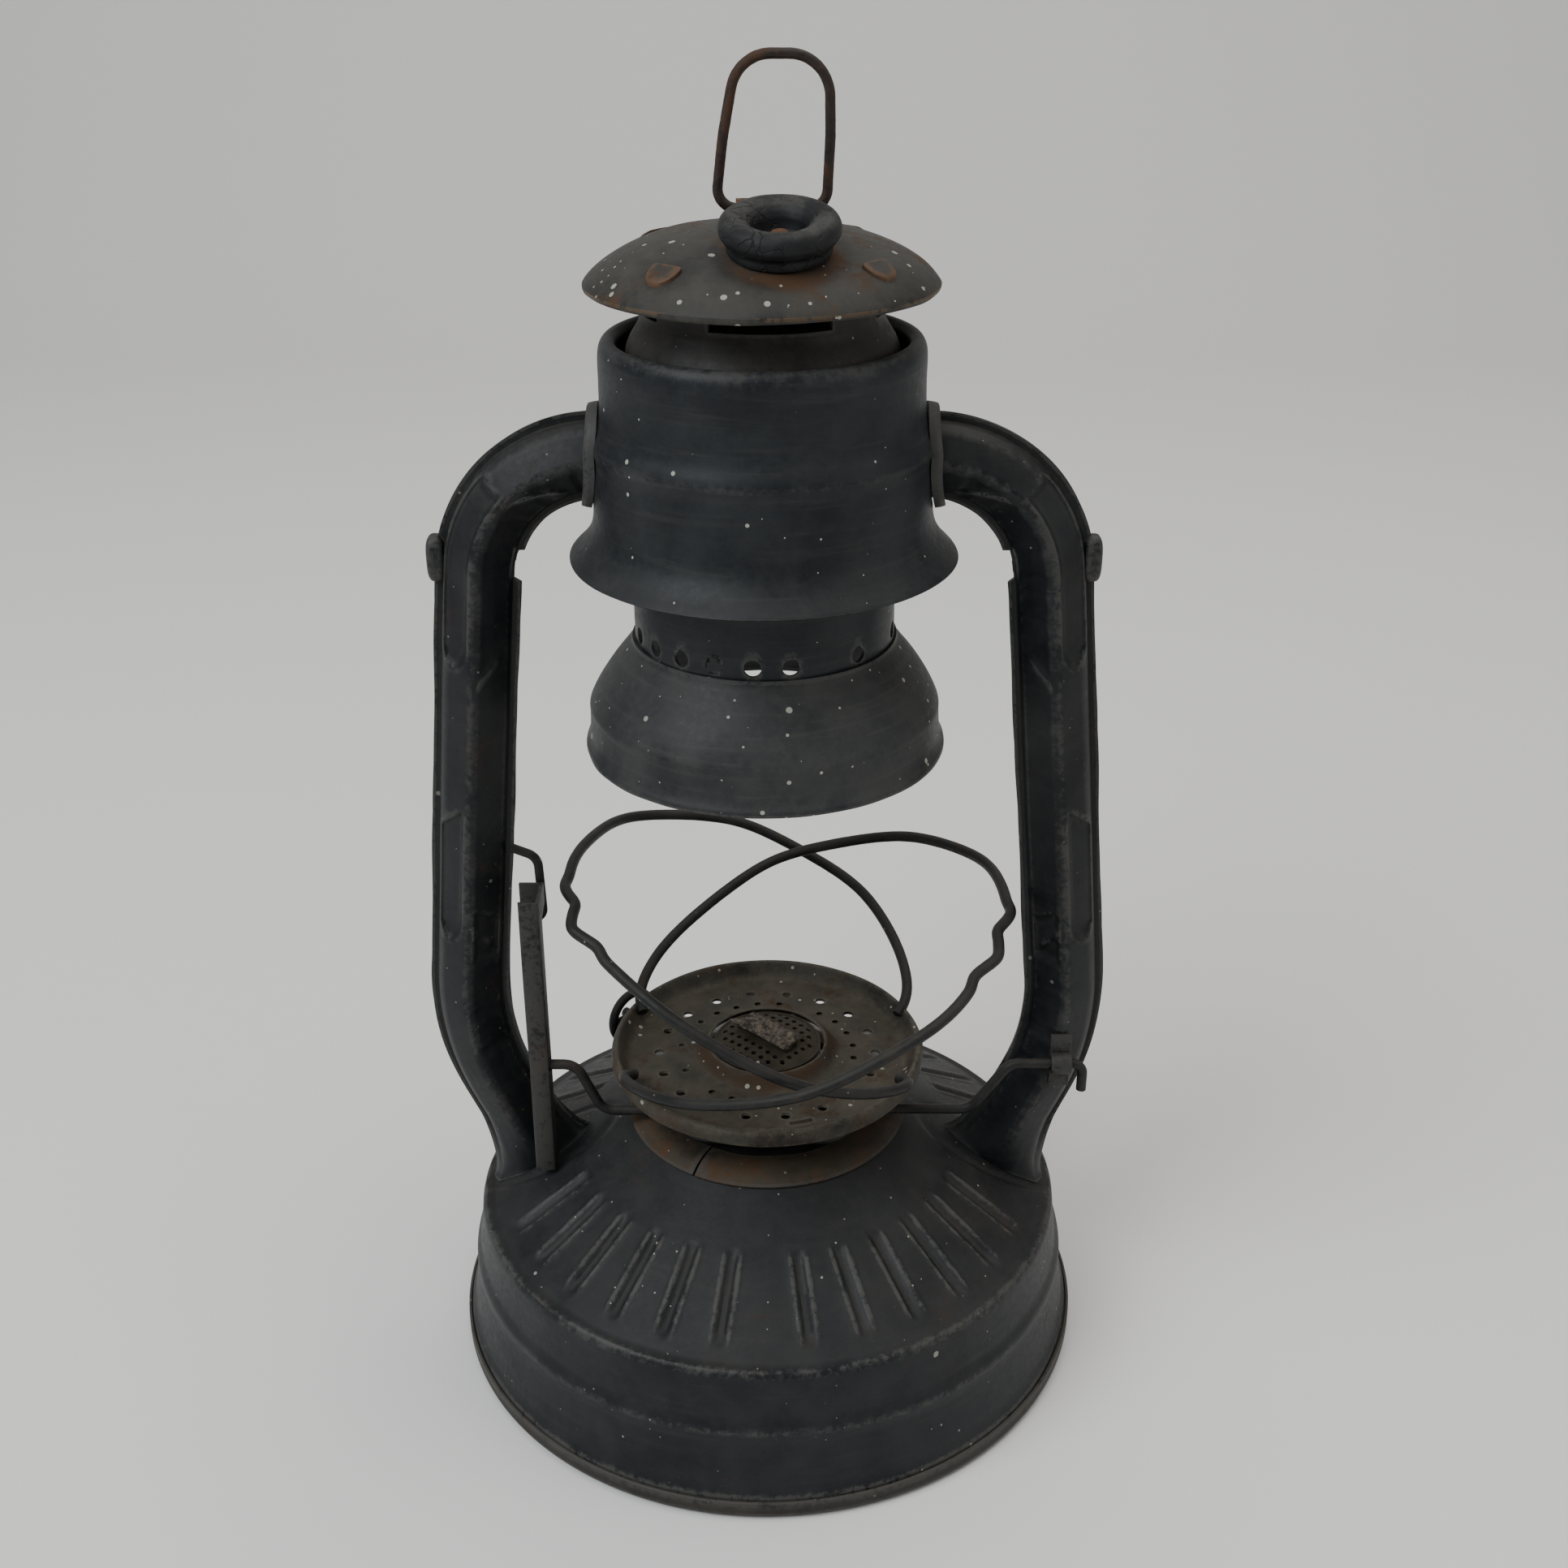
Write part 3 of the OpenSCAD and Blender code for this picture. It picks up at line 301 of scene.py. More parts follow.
    # spots of pale paint, few and of uneven size
    spots = None
    for scale, size, amount in ((0.075, 0.085, "Spotted"), (0.19, 0.11, "Spotted"),
                                (0.42, 0.13, "Spotted"), (0.34, 0.27, "Speckled")):
        cell = node(tree, "ShaderNodeTexVoronoi", {"Vector": place, "Scale": scale}, feature="F1")
        chance = node(tree, "ShaderNodeSeparateColor", {0: cell.outputs["Color"]}).outputs
        reach = times(tree, math_node(tree, "POWER", chance[0], 6.0), size)
        spot = math_node(tree, "LESS_THAN", plus(tree, cell.outputs["Distance"],
                                                 times(tree, minus(tree, fine, 0.5), 0.05)), reach)
        spot = times(tree, spot, given[amount])
        spots = spot if spots is None else math_node(tree, "MAXIMUM", spots, spot)
    colour = blend_colour(tree, spots, colour, given["Spot"])
    rough = plus(tree, 0.44, times(tree, dust, 0.36))
    rough = plus(tree, rough, times(tree, rust, 0.3))
    rough = plus(tree, rough, times(tree, minus(tree, fine, 0.5), 0.3))
    height = plus(tree, times(tree, fine, 0.35), times(tree, grain, 0.10))
    height = plus(tree, height, times(tree, rust, times(tree, grain, 0.6)))
    height = plus(tree, height, times(tree, spots, 0.5))
    height = minus(tree, height, times(tree, worn, 0.15))
    out = tree.nodes.new("NodeGroupOutput")
    for name, value in (("Color", colour), ("Roughness", rough), ("Height", height)):
        tree.links.new(value, out.inputs[name])
    return tree


OLD_METAL = old_metal_group()


def old_metal(name, paint, shade, dust, bare=(0.070, 0.068, 0.062), rust=(0.060, 0.028, 0.013),
              spot=(0.36, 0.35, 0.30), dusty=0.35, settled=0.4, worn=0.7, rusty=0.1, spotted=0.8,
              speckled=0.0, streaked=0.15,
              stain=(0.0, 0.0, -100.0, 1.0), start=0.0, metal=0.0, bump=0.35):
    """A finish of old painted sheet or wire, from the shared tinplate group."""
    finish = bpy.data.materials.new(name)
    finish.use_nodes = True
    tree = finish.node_tree
    shader = tree.nodes["Principled BSDF"]
    colour = lambda c: (*c, 1.0)
    group = node(tree, "ShaderNodeGroup", node_tree=OLD_METAL)
    for key, value in (("Paint", colour(paint)), ("Shade", colour(shade)), ("Dust", colour(dust)),
                       ("Bare", colour(bare)),
                       ("Rust", colour(rust)), ("Spot", colour(spot)), ("Dusty", dusty),
                       ("Settled", settled),
                       ("Worn", worn), ("Rusty", rusty), ("Spotted", spotted), ("Speckled", speckled),
                       ("Streaked", streaked),
                       ("Start", start), ("Stain Centre", (stain[0], stain[1], 0.0)),
                       ("Stain Reach", stain[2]), ("Stain Width", stain[3])):
        group.inputs[key].default_value = value
    raised = node(tree, "ShaderNodeBump", {"Height": group.outputs["Height"], "Strength": bump,
                                           "Distance": 0.0004})
    tree.links.new(group.outputs["Color"], shader.inputs["Base Color"])
    tree.links.new(group.outputs["Roughness"], shader.inputs["Roughness"])
    tree.links.new(raised.outputs["Normal"], shader.inputs["Normal"])
    shader.inputs["Metallic"].default_value = metal
    shader.inputs["Specular IOR Level"].default_value = 0.24
    return finish


def dress(piece, finish, body, slot, *stands_for):
    """Gives a piece its finish, the body it moves with and the CAD nodes it stands for; slot is not used."""
    piece.data.materials.clear()
    piece.data.materials.append(finish)
    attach(piece, body)
    if stands_for:
        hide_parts(*stands_for)


tank_paint = old_metal("tank paint", (0.0052, 0.0062, 0.0082), (0.0118, 0.0134, 0.0168),
                       (0.0470, 0.0440, 0.0370),
                       dusty=0.16, settled=0.26, worn=0.75, rusty=0.12, spotted=0.7, streaked=0.12,
                       start=11.0)
base_r = 84.0 * MM
bead_top = 4.6 * MM
edge_r, edge_z = 77.5 * MM, 39.0 * MM
neck_r, neck_z = 36.5 * MM, 63.0 * MM
cone_r, cone_z = 74.7 * MM, 41.0 * MM
rib_z = 24.4 * MM


def skirt_r(z):
    return (77.8 + (36.0 - z / MM) * (6.5 / 39.0) * 0.86) * MM


turned = [(edge_r - 3.2 * MM + 3.4 * MM * math.cos(math.radians(a)),
           edge_z - 0.8 * MM + 3.4 * MM * math.sin(math.radians(a)))
          for a in np.linspace(52, 2, 7)]
rib = [(skirt_r(rib_z - d * MM) + 0.9 * MM * math.cos(math.radians(d * 22.5)) ** 2,
        rib_z - d * MM) for d in np.linspace(-4, 4, 13)]
tank_line = [(16.4 * MM, 65.6 * MM), (30.5 * MM, 65.6 * MM), (33.9 * MM, 64.9 * MM), (neck_r, neck_z),
             (cone_r, cone_z)]
tank_line = np.vstack([evenly(round_off(tank_line, 2), 0.9 * MM), turned,
                       evenly([(skirt_r(rib_z + 8 * MM), rib_z + 8 * MM), rib[0]], 1.6 * MM), rib[1:],
                       evenly([(skirt_r(rib_z - 6 * MM), rib_z - 6 * MM), (base_r - 1.9 * MM, 8 * MM),
                               (base_r - 1.0 * MM, bead_top + 1.3 * MM), (base_r - 0.95 * MM, bead_top)],
                               1.6 * MM)])
# two runs of six flutes, evenly spread over the front of the shoulder, and the same at the rear
flutes = np.radians([side + run + step for side in (-90,
                                                    90) for run in (-38,
                                                                    38) for step in np.linspace(-29, 29, 6)])


def tank_press(r, z, angle):
    soft = -0.45 * MM * dents(angle, z, 5, tall=0.05) * np.clip((r - 45 * MM) / (20 * MM), 0, 1)
    # each flute is a shallow groove with a raised lip, 19 mm long
    across = np.min(np.abs((angle[..., None] - flutes + np.pi) % (2 * np.pi) - np.pi), axis=-1) * r
    inside = (z > cone_z - 0.5 * MM) & (r > neck_r)
    run = np.clip(1 - (np.abs(r - 60.8 * MM) / (10.6 * MM)) ** 8, 0, 1) * inside
    groove = np.exp(-(across / (1.25 * MM)) ** 4)
    lip = np.exp(-((across - 2.2 * MM) / (0.7 * MM)) ** 2)
    # an oval pad under each tube's foot, and the spring of the cone away from it
    pads = 0
    for side in (0.0, np.pi):
        off = np.abs((angle - side + np.pi) % (2 * np.pi) - np.pi) * r
        oval = ((r - 60 * MM) / (18.5 * MM)) ** 2 + (off / (11 * MM)) ** 2
        pads = pads + np.exp(-((oval - 1.0) / 0.16) ** 2) * inside
    return soft + run * (-0.85 * groove + 0.28 * lip) * MM - 0.5 * MM * pads


tank = revolve("tank", tank_line, 0.8 * MM, 600, tank_press)
mark_edges(tank, 1)
dress(tank, tank_paint, "frame", "old_paint", "fount_shell")


# ---- Base ring and bottom ----
# The tank's foot is a rolled bead that grips the skirt's lower edge. A dished plate
# closes the tank from below. Both have lost most of their paint to handling and damp.

def turn(name, outline, sides=256, press=None, flat_above=35):
    """A solid ring or disc turned from a closed outline of (radius, height) points."""
    outline = np.asarray(outline, float)
    angle = 2 * np.pi * np.arange(sides) / sides
    push = 0 if press is None else press(outline[:, :1], outline[:, 1:], angle[None, :])
    r = np.maximum(outline[:, :1] + push, 0)
    points = np.stack([r * np.cos(angle), r * np.sin(angle),
                       np.broadcast_to(outline[:, 1:], (len(outline), sides))], 2)
    n = len(outline)
    faces = [[i * sides + j, (i + 1) % n * sides + j, (i + 1) % n * sides + (j + 1) % sides,
              i * sides + (j + 1) % sides]
             for i in range(n) for j in range(sides) if outline[i, 0] > 0 or outline[(i + 1) % n, 0] > 0]
    return mesh_piece(name, points.reshape(-1, 3), faces, flat_above)


bead_r, bead_mid = 2.3 * MM, base_r - 2.3 * MM
bead = [(bead_mid + bead_r * math.cos(math.radians(a)), bead_r + bead_r * math.sin(math.radians(a)))
        for a in np.linspace(-68, 14, 10)]
bead += [(base_r - 0.02 * MM, bead_top + 0.1 * MM), (base_r - 0.05 * MM, bead_top + 0.7 * MM),
         (base_r - 0.3 * MM, bead_top + 0.9 * MM),
         (base_r - 0.7 * MM, bead_top + 0.9 * MM), (base_r - 0.85 * MM, bead_top + 0.7 * MM),
         (base_r - 0.85 * MM, bead_top)]
bead += [(bead_mid + bead_r * math.cos(math.radians(a)), bead_r + bead_r * math.sin(math.radians(a)))
         for a in np.linspace(96, 248, 14)]
base_ring = turn("base_bead", bead, 360, lambda r, z,
                 angle: -0.25 * MM * dents(angle, z, 8) * (r > bead_mid))
mark_edges(base_ring, 1)
base_finish = old_metal("base bead iron", (0.0109, 0.0105, 0.0109), (0.0216, 0.0202, 0.0182),
                        (0.0620, 0.0527, 0.0384),
                        dusty=0.4, settled=0.6, worn=0.55, rusty=0.22, spotted=0.5, start=23.0)
dress(base_ring, base_finish, "frame", "dark_paint", "base_ring")
bottom_finish = old_metal("tank bottom tin", (0.0210, 0.0210, 0.0210), (0.0384, 0.0374, 0.0336),
                          (0.0682, 0.0558, 0.0403),
                          dusty=0.4, settled=0.1, worn=0.2, rusty=0.4, spotted=0.3, start=31.0)
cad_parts["fount_bottom"].data.materials[0] = bottom_finish


# ---- Neck ring ----
# A split band crimped round the tank's neck below the burner, brown with rust and baked dust.

neck_line = evenly(round_off([(27.8 * MM, 67.3 * MM), (30.6 * MM, 67.3 * MM), (34.2 * MM, 66.4 * MM),
                              (37.0 * MM, 64.4 * MM)], 2), 0.5 * MM)
neck_band = revolve("neck_band", neck_line, 0.8 * MM, 240,
                    lambda r, z, angle: -0.5 * MM * dents(angle, z, 3, spread=(2, 12)),
                    span=(-119.5, 239.5))
mark_edges(neck_band, 1)
neck_finish = old_metal("rusty band", (0.0180, 0.0162, 0.0144), (0.0312, 0.0258, 0.0192),
                        (0.0618, 0.0488, 0.0312),
                        dusty=0.5, settled=0.5, worn=0.4, rusty=0.42, rust=(0.085, 0.040, 0.018),
                        spotted=0.4, start=37.0)
dress(neck_band, neck_finish, "frame", "rusty_steel", "neck_ring")


# ---- Air tubes ----
# Each tube is two pressed half-shells folded together along flat seams. The front carries long
# pressed panels, the seams are nibbled at the bends, and the foot spreads over the shoulder.

top_bend, low_bend = 29.7, 70.0
wide = np.array([76.8, 106.0])
centre_1 = np.array([37.2, 212.9])
reach = wide - centre_1
slant = math.atan2(reach[1], reach[0]) + math.acos(top_bend / np.linalg.norm(reach))
slope = math.atan(22.0 / 38.2)
centre_2 = wide - low_bend * np.array([math.cos(slant), math.sin(slant)])
foot = np.array([74.7 - 17 * math.cos(slope) + 1.2, 0.0])
foot[1] = 63 - (foot[0] - 36.5) * 22.0 / 38.2
reach = foot - centre_2
lean = math.atan2(reach[1], reach[0]) + math.acos(low_bend / np.linalg.norm(reach))


def tube_route(step=0.9):
    """Points, outward directions and lengths along the tube's centre line, from the hood to the foot."""
    rows = [((x, 242.6), (0.0, 1.0)) for x in np.linspace(35.2, 37.2, 3)]
    for centre, radius, start, end in ((centre_1, top_bend, math.pi / 2, slant),
                                       (centre_2, low_bend, slant, lean)):
        for a in np.linspace(start, end, int(radius * abs(end - start) / step) + 1):
            out = np.array([math.cos(a), math.sin(a)])
            here = centre + radius * out
            if radius == low_bend and a == start:
                last = np.array(rows[-1][0])
                rows += [(last + (here - last) * t,
                          out) for t in np.linspace(0, 1, int(np.linalg.norm(here - last) / step) + 1)[1:]]
            else:
                rows.append((here, out))
    last, out = np.array(rows[-1][0]), np.array(rows[-1][1])
    down = np.array([out[1], -out[0]])
    leg = float(np.dot(foot - last, down))
    rows += [(last + down * t, out) for t in np.linspace(0, leg, 40)[1:]]
    centre = np.array([r[0] for r in rows])
    run = np.concatenate([[0], np.cumsum(np.linalg.norm(np.diff(centre, axis=0), axis=1))])
    return centre, np.array([r[1] for r in rows]), run, leg


def smooth(x):
    """A soft step from 0 to 1."""
    return np.clip(x, 0, 1) ** 2 * (3 - 2 * np.clip(x, 0, 1))


def tube_half(name, side, face, seed):
    """One half-shell: side is +1 on the right, and face is -1 at the front."""
    centre, out, run, leg = tube_route()
    web = 8.2
    shell = np.array([(-10.25, 0.6), (-9.2, 0.6), (-8.25, 0.6), (-8.05, 1.2), (-7.5, 2.6), (-4.6, 5.5),
                      (-1.7, 8.0), (-0.9, 8.35), (0, 8.52), (0.9, 8.3),
                      (1.6, 7.9), (3.8, 6.6), (6.0, 5.2), (6.9, 4.3), (7.75, 2.8), (8.15, 1.3),
                      (8.3, 0.62), (9.2, 0.6), (10.25, 0.6)])
    shell = np.vstack([evenly(shell[:4], 0.8), evenly(shell[3:16], 0.75)[1:], evenly(shell[15:], 0.8)[1:]])
    rows, cols = len(centre), len(shell)
    u = np.broadcast_to(shell[:, 0], (rows, cols)).copy()
    v = np.broadcast_to(shell[:, 1], (rows, cols)).copy()
    z = centre[:, 1][:, None]
    s = run[:, None]
    # seams: nibbled short at the ear and at the notch opposite, and a little uneven all along
    seam = np.abs(u) > web + 0.3
    edge = 10.25 - 0.13 * (1 + np.sin(s * 0.11 + seed)) - 0.07 * (1 + np.sin(s * 0.23 + 2 * seed))
    notch = ((u < 0) & (z > 213.4) & (z < 223.6)) | ((u > 0) & (np.abs(z - 217.1) < 3.3))
    edge = np.where(notch, 8.45, edge)
    u = np.where(seam, np.sign(u) * (web + (np.abs(u) - web) * (edge - web) / (10.25 - web)), u)
    # pressed panels on the outer facet, each with a soft raised rim
    band = smooth((u - 1.2) / 0.9) * smooth((7.6 - u) / 0.9) * (~seam)
    end = 1.6 * (u - 4.4) ** 2 / 4
    arc_end = run[np.argmin(np.abs(centre[:, 1] - 192))]
    first, third, last = [run[len(run) - 1 - np.argmax(centre[::-1,
                                                              1] >= level)] for level in (233, 152, 117)]
    panel = smooth((s - first) / 1.2) * smooth((arc_end - end - s) / 1.2)
    panel = panel + smooth((s - third - (u - 4.4) * 0.9) / 1.2) * smooth((last - end - s) / 1.2)
    rim = np.exp(-((smooth((s - first) / 1.2) * smooth((arc_end - end - s) / 1.2)) - 0.5) ** 2 / 0.03)
    press = -1.35 * band * np.clip(panel, 0, 1) + 0.55 * rim * band * (s > first - 2) * (s < arc_end + 3)
    inner_band = smooth((-u - 1.6) / 0.9) * smooth((u + 7.6) / 0.9) * (~seam)
    low_step = run[len(run) - 1 - np.argmax(centre[::-1, 1] >= 128)]
    press = press - 1.0 * inner_band * smooth((s - low_step + u * 0.7) / 1.2) * smooth((last + 6 - s) / 1.2)
    # a slanting crease on the inner facet beside each panel's end, and one in the top bend
    for at_s, lean_s, tall in ((arc_end, 1.3, 0.9), (last, -1.1, 0.9), (first - 9, 2.4, 1.1)):
        crest = tall * np.exp(-((s - at_s - lean_s * (u + 4.4)) / 1.1) ** 2)
        press = press + crest * smooth((-u - 0.8) / 1.5) * smooth((u + 6.8) / 1.5) * (~seam)
    # small dents, and shallow creases where the metal bunches inside the bends
    press = press - 0.35 * np.clip(np.sin(s * 0.11 + u * 0.21 + seed) * np.sin(s * 0.037 + 1.7 * seed), 0,
                                   1) * (~seam)
    crease = np.clip((run[:, None] < 48) * (run[:, None] > 6), 0, 1) + np.clip((z < 104) * (z > 78), 0, 1)
    press = press - 0.28 * crease * (np.sin(s * 0.55 + seed) > 0.55) * smooth((-u + 1) / 4) * (~seam)
    v = v + np.where(seam, 0, press * np.clip(v / 3, 0, 1))
    # the foot: the section opens out over the shoulder along the last stretch
    spread = np.clip((s - (run[-1] - 17)) / 17, 0, 1) ** 1.45
    foot_line = np.array([(-17, 0.35), (-13, 3.0), (-5, 6.4), (0.5, 7.4), (6, 7.8), (13.6, 6.2),
                          (17, 0.35)])
    fu = u * 16.9 / 10.25
    fv = np.interp(fu, foot_line[:, 0], foot_line[:, 1])
    fv = np.where(np.abs(fu) > 16.6, 0.45, fv)
    points = []
    for layer in (0, 1):
        du, dv = (0, 0)
        if layer:
            path = np.stack([u, v], 2)
            step = np.gradient(path, axis=1)
            size = np.linalg.norm(step, axis=2, keepdims=True)
            du, dv = (step[..., 1:] / size)[..., 0] * 0.6, (-step[..., :1] / size)[..., 0] * 0.6
        lu, lv = u + du, np.maximum(v + dv, 0.0)
        x = centre[:, :1] + out[:, :1] * lu
        h = centre[:, 1:] + out[:, 1:] * lu
        inset = 0.94 if layer else 1.0
        fx = foot[0] + math.cos(slope) * fu * inset
        fh = foot[1] - math.sin(slope) * fu * inset - 0.2
        gu, gv = fx, np.maximum(fv - (0.6 if layer else 0), 0)
        x = x * (1 - spread) + gu * spread
        h = h * (1 - spread) + fh * spread
        y = lv * (1 - spread) + gv * spread
        points.append(np.stack([side * x, face * y, h], 2) * MM)
    points = np.array(points).reshape(-1, 3)
    at = lambda layer, i, j: layer * rows * cols + i * cols + j
    faces = []
    for i in range(rows - 1):
        for j in range(cols - 1):
            faces.append([at(0, i, j), at(0, i, j + 1), at(0, i + 1, j + 1), at(0, i + 1, j)])
            faces.append([at(1, i, j), at(1, i + 1, j), at(1, i + 1, j + 1), at(1, i, j + 1)])
        for j, (a, b) in ((0, (0, 1)), (cols - 1, (1, 0))):
            faces.append([at(a, i, j), at(a, i + 1, j), at(b, i + 1, j), at(b, i, j)])
    for j in range(cols - 1):
        faces.append([at(0, 0, j), at(1, 0, j), at(1, 0, j + 1), at(0, 0, j + 1)])
        faces.append([at(0, rows - 1, j), at(0, rows - 1, j + 1), at(1, rows - 1, j + 1),
                      at(1, rows - 1, j)])
    return mesh_piece(name, points, faces, 42)


tube_paint = old_metal("tube paint", (0.0046, 0.0053, 0.0066), (0.0098, 0.0112, 0.0135),
                       (0.0440, 0.0410, 0.0350),
                       dusty=0.14, settled=0.35, worn=0.55, rusty=0.10, spotted=0.4, streaked=0.08,
                       start=53.0)
for label, side in (("right", 1), ("left", -1)):
    for end, face in (("front", -1), ("rear", 1)):
        half = tube_half(f"{label}_tube_{end}_shell", side, face, 1.3 * side + 0.7 * face)
        mark_edges(half, 1)
        dress(half, tube_paint, "frame", "old_paint", f"{label}_tube_{end}")


# ---- Hood ----
# A spun hood with a rolled top, a soft crease round its middle and a flared skirt. The tubes
# enter through oval collars at its sides. Brushed-on paint shows faint streaks round it.

HOLE_INPUTS = ("Count", "Ring Radius", "Height", "Hole Radius", "Depth", "First Angle", "Outwards", "Oval")


def punched_holes_tree():
    """Cuts a ring of round or oval holes through a sheet, upwards or outwards."""
    tree = bpy.data.node_groups.new("Punched Holes", "GeometryNodeTree")
    tree.interface.new_socket("Sheet", in_out="INPUT", socket_type="NodeSocketGeometry")
    for name in HOLE_INPUTS:
        kind = "NodeSocketInt" if name == "Count" else "NodeSocketFloat"
        tree.interface.new_socket(name, in_out="INPUT", socket_type=kind)
    tree.interface.new_socket("Finish", in_out="INPUT", socket_type="NodeSocketMaterial")
    tree.interface.new_socket("Sheet", in_out="OUTPUT", socket_type="NodeSocketGeometry")
    given = tree.nodes.new("NodeGroupInput").outputs
    points = node(tree, "GeometryNodePoints", {"Count": given["Count"]}).outputs[0]
    turn_by = math_node(tree, "DIVIDE", 2 * math.pi, given["Count"])
    index = node(tree, "GeometryNodeInputIndex").outputs[0]
    angle = plus(tree, times(tree, index, turn_by), given["First Angle"])
    cos, sin = math_node(tree, "COSINE", angle), math_node(tree, "SINE", angle)
    spot = node(tree, "ShaderNodeCombineXYZ", {0: times(tree, cos, given["Ring Radius"]),
                1: times(tree, sin, given["Ring Radius"]), 2: given["Height"]}).outputs[0]
    placed = node(tree, "GeometryNodeSetPosition", {"Geometry": points, "Position": spot}).outputs[0]
    upright = minus(tree, 1.0, given["Outwards"])
    axis = node(tree, "ShaderNodeCombineXYZ", {0: times(tree, cos, given["Outwards"]),
                1: times(tree, sin, given["Outwards"]), 2: upright}).outputs[0]
    facing = node(tree, "FunctionNodeAlignRotationToVector", {"Vector": axis}, axis="Z")
    drill = node(tree, "GeometryNodeMeshCylinder",
                 {"Vertices": 24, "Radius": given["Hole Radius"], "Depth": given["Depth"]}).outputs[0]
    stretch = node(tree, "ShaderNodeCombineXYZ", {0: 1.0, 1: given["Oval"], 2: 1.0}).outputs[0]
    drills = node(tree, "GeometryNodeInstanceOnPoints",
                  {"Points": placed, "Instance": drill, "Rotation": facing.outputs[0],
                  "Scale": stretch}).outputs[0]
    drills = node(tree, "GeometryNodeRealizeInstances", {0: drills}).outputs[0]
    cut = node(tree, "GeometryNodeMeshBoolean", {"Mesh 1": given["Sheet"], "Mesh 2": drills},
               operation="DIFFERENCE").outputs[0]
    cut = node(tree, "GeometryNodeRealizeInstances", {0: cut}).outputs[0]
    cut = node(tree, "GeometryNodeSetMaterial", {"Geometry": cut, "Material": given["Finish"]}).outputs[0]
    out = tree.nodes.new("NodeGroupOutput")
    tree.links.new(cut, out.inputs[0])
    return tree


PUNCHED_HOLES = punched_holes_tree()


def inputs_of(tree):
    """The identifier of each of a node group's inputs, by name."""
    sockets = tree.interface.items_tree
    return {socket.name: socket.identifier for socket in sockets if socket.in_out == "INPUT"}


def punched(piece, rings, finish, oval=1.0):
    """Cuts rings of holes. Each ring gives the hole inputs in their order, but for the last."""
    identifiers = inputs_of(PUNCHED_HOLES)
    for ring in rings:
        change = piece.modifiers.new("holes", "NODES")
        change.node_group = PUNCHED_HOLES
        for name, value in zip(HOLE_INPUTS, (*ring, oval)):
            change[identifiers[name]] = value if name == "Count" else float(value)
        change[identifiers["Finish"]] = finish
    plain(piece)


def plain(piece):
    """Turns a piece with live modifiers into a plain mesh."""
    bpy.context.view_layer.update()
    made = bpy.data.meshes.new_from_object(piece.evaluated_get(bpy.context.evaluated_depsgraph_get()))
    piece.modifiers.clear()
    piece.data = made
    made.shade_smooth()
    made.set_sharp_from_angle(angle=math.radians(35))


hood_paint = old_metal("hood paint", (0.0072, 0.0088, 0.0110), (0.0140, 0.0168, 0.0202),
                       (0.0500, 0.0490, 0.0440),
                       dusty=0.16, settled=0.40, worn=0.55, rusty=0.05, spotted=1.0, streaked=0.22,
                       start=71.0)
hood_line = [(32.3, 266.9), (32.35, 268.2), (33.1, 269.6), (34.3, 270.0), (35.6, 269.4), (36.5, 267.6),
             (36.75, 265.0), (36.8, 262.0),
             (36.9, 253.6), (37.5, 250.2), (38.8, 247.3), (39.15, 245.4), (38.5, 243.4), (38.85, 239.6),
             (39.1, 231.6),
             (39.4, 228.6), (40.35, 225.6), (42.4, 222.6), (44.7, 220.4), (45.25, 219.75), (45.25, 219.65)]
hood_line = evenly(round_off(np.array(hood_line), 2), 0.9) * MM
hood = revolve("hood", hood_line, 0.8 * MM, 320,
               lambda r, z, angle: -0.5 * MM * dents(angle, z, 21,
                                                     tall=0.07) * np.clip((0.2685 - z) / (8 * MM), 0, 1))
punched(hood, [(2, 40 * MM, 242.6 * MM, 11.1 * MM, 16 * MM, 0.0, 1.0)], hood_paint, 0.84)
mark_edges(hood, 1)
dress(hood, hood_paint, "frame", "old_paint", "hood_shell")

collar_finish = old_metal("tube collar paint", (0.0095, 0.0105, 0.0125), (0.019, 0.021, 0.024),
                          (0.053, 0.050, 0.042),
                          dusty=0.3, settled=0.4, worn=0.5, rusty=0.15, spotted=0.5, start=83.0)
for name in ("hood_guide_ring", "chimney_springs"):
    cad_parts[name].data.materials[0] = collar_finish

# each tube's collar is a thin flanged oval that hugs the hood round the socket
for label, side in (("right", 1), ("left", -1)):
    collar_points = []
    steps = 72
    for k in range(steps):
        a = 2 * math.pi * k / steps
        for wide_y, tall_z, out in ((9.35, 11.15, 0.05), (9.35, 11.15, 2.3), (9.55, 11.35, 2.5),
                                    (9.9, 11.7, 2.35), (10.2, 12.0, 1.2), (10.35, 12.15, 0.05)):
            y, z = wide_y * math.sin(a), 242.6 + tall_z * math.cos(a)
            surface = float(np.interp(z * MM, hood_line[::-1, 1],
                                      np.convolve(np.pad(hood_line[::-1, 0], 6, "edge"), np.ones(13) / 13,
                                                  "valid"))) / MM
            collar_points.append((side * (math.sqrt(max(0.0, surface ** 2 - y ** 2)) + out) * MM, y * MM,
                                  z * MM))
    n = 6
    collar_faces = [[k * n + j, k * n + (j + 1) % n, (k + 1) % steps * n + (j + 1) % n,
                     (k + 1) % steps * n + j]
                    for k in range(steps) for j in range(n)]
    collar = mesh_piece(f"{label}_tube_collar", collar_points, collar_faces, 50)
    mark_edges(collar, 0)
    dress(collar, collar_finish, "frame", "old_paint", f"{label}_hood_collar")


# ---- Bell and chimney tube ----
# The bell sits over the globe and slides up with the chimney tube, which has a ring of round
# air holes. The bell has gone greyer than the rest, and carries spots of pale paint.

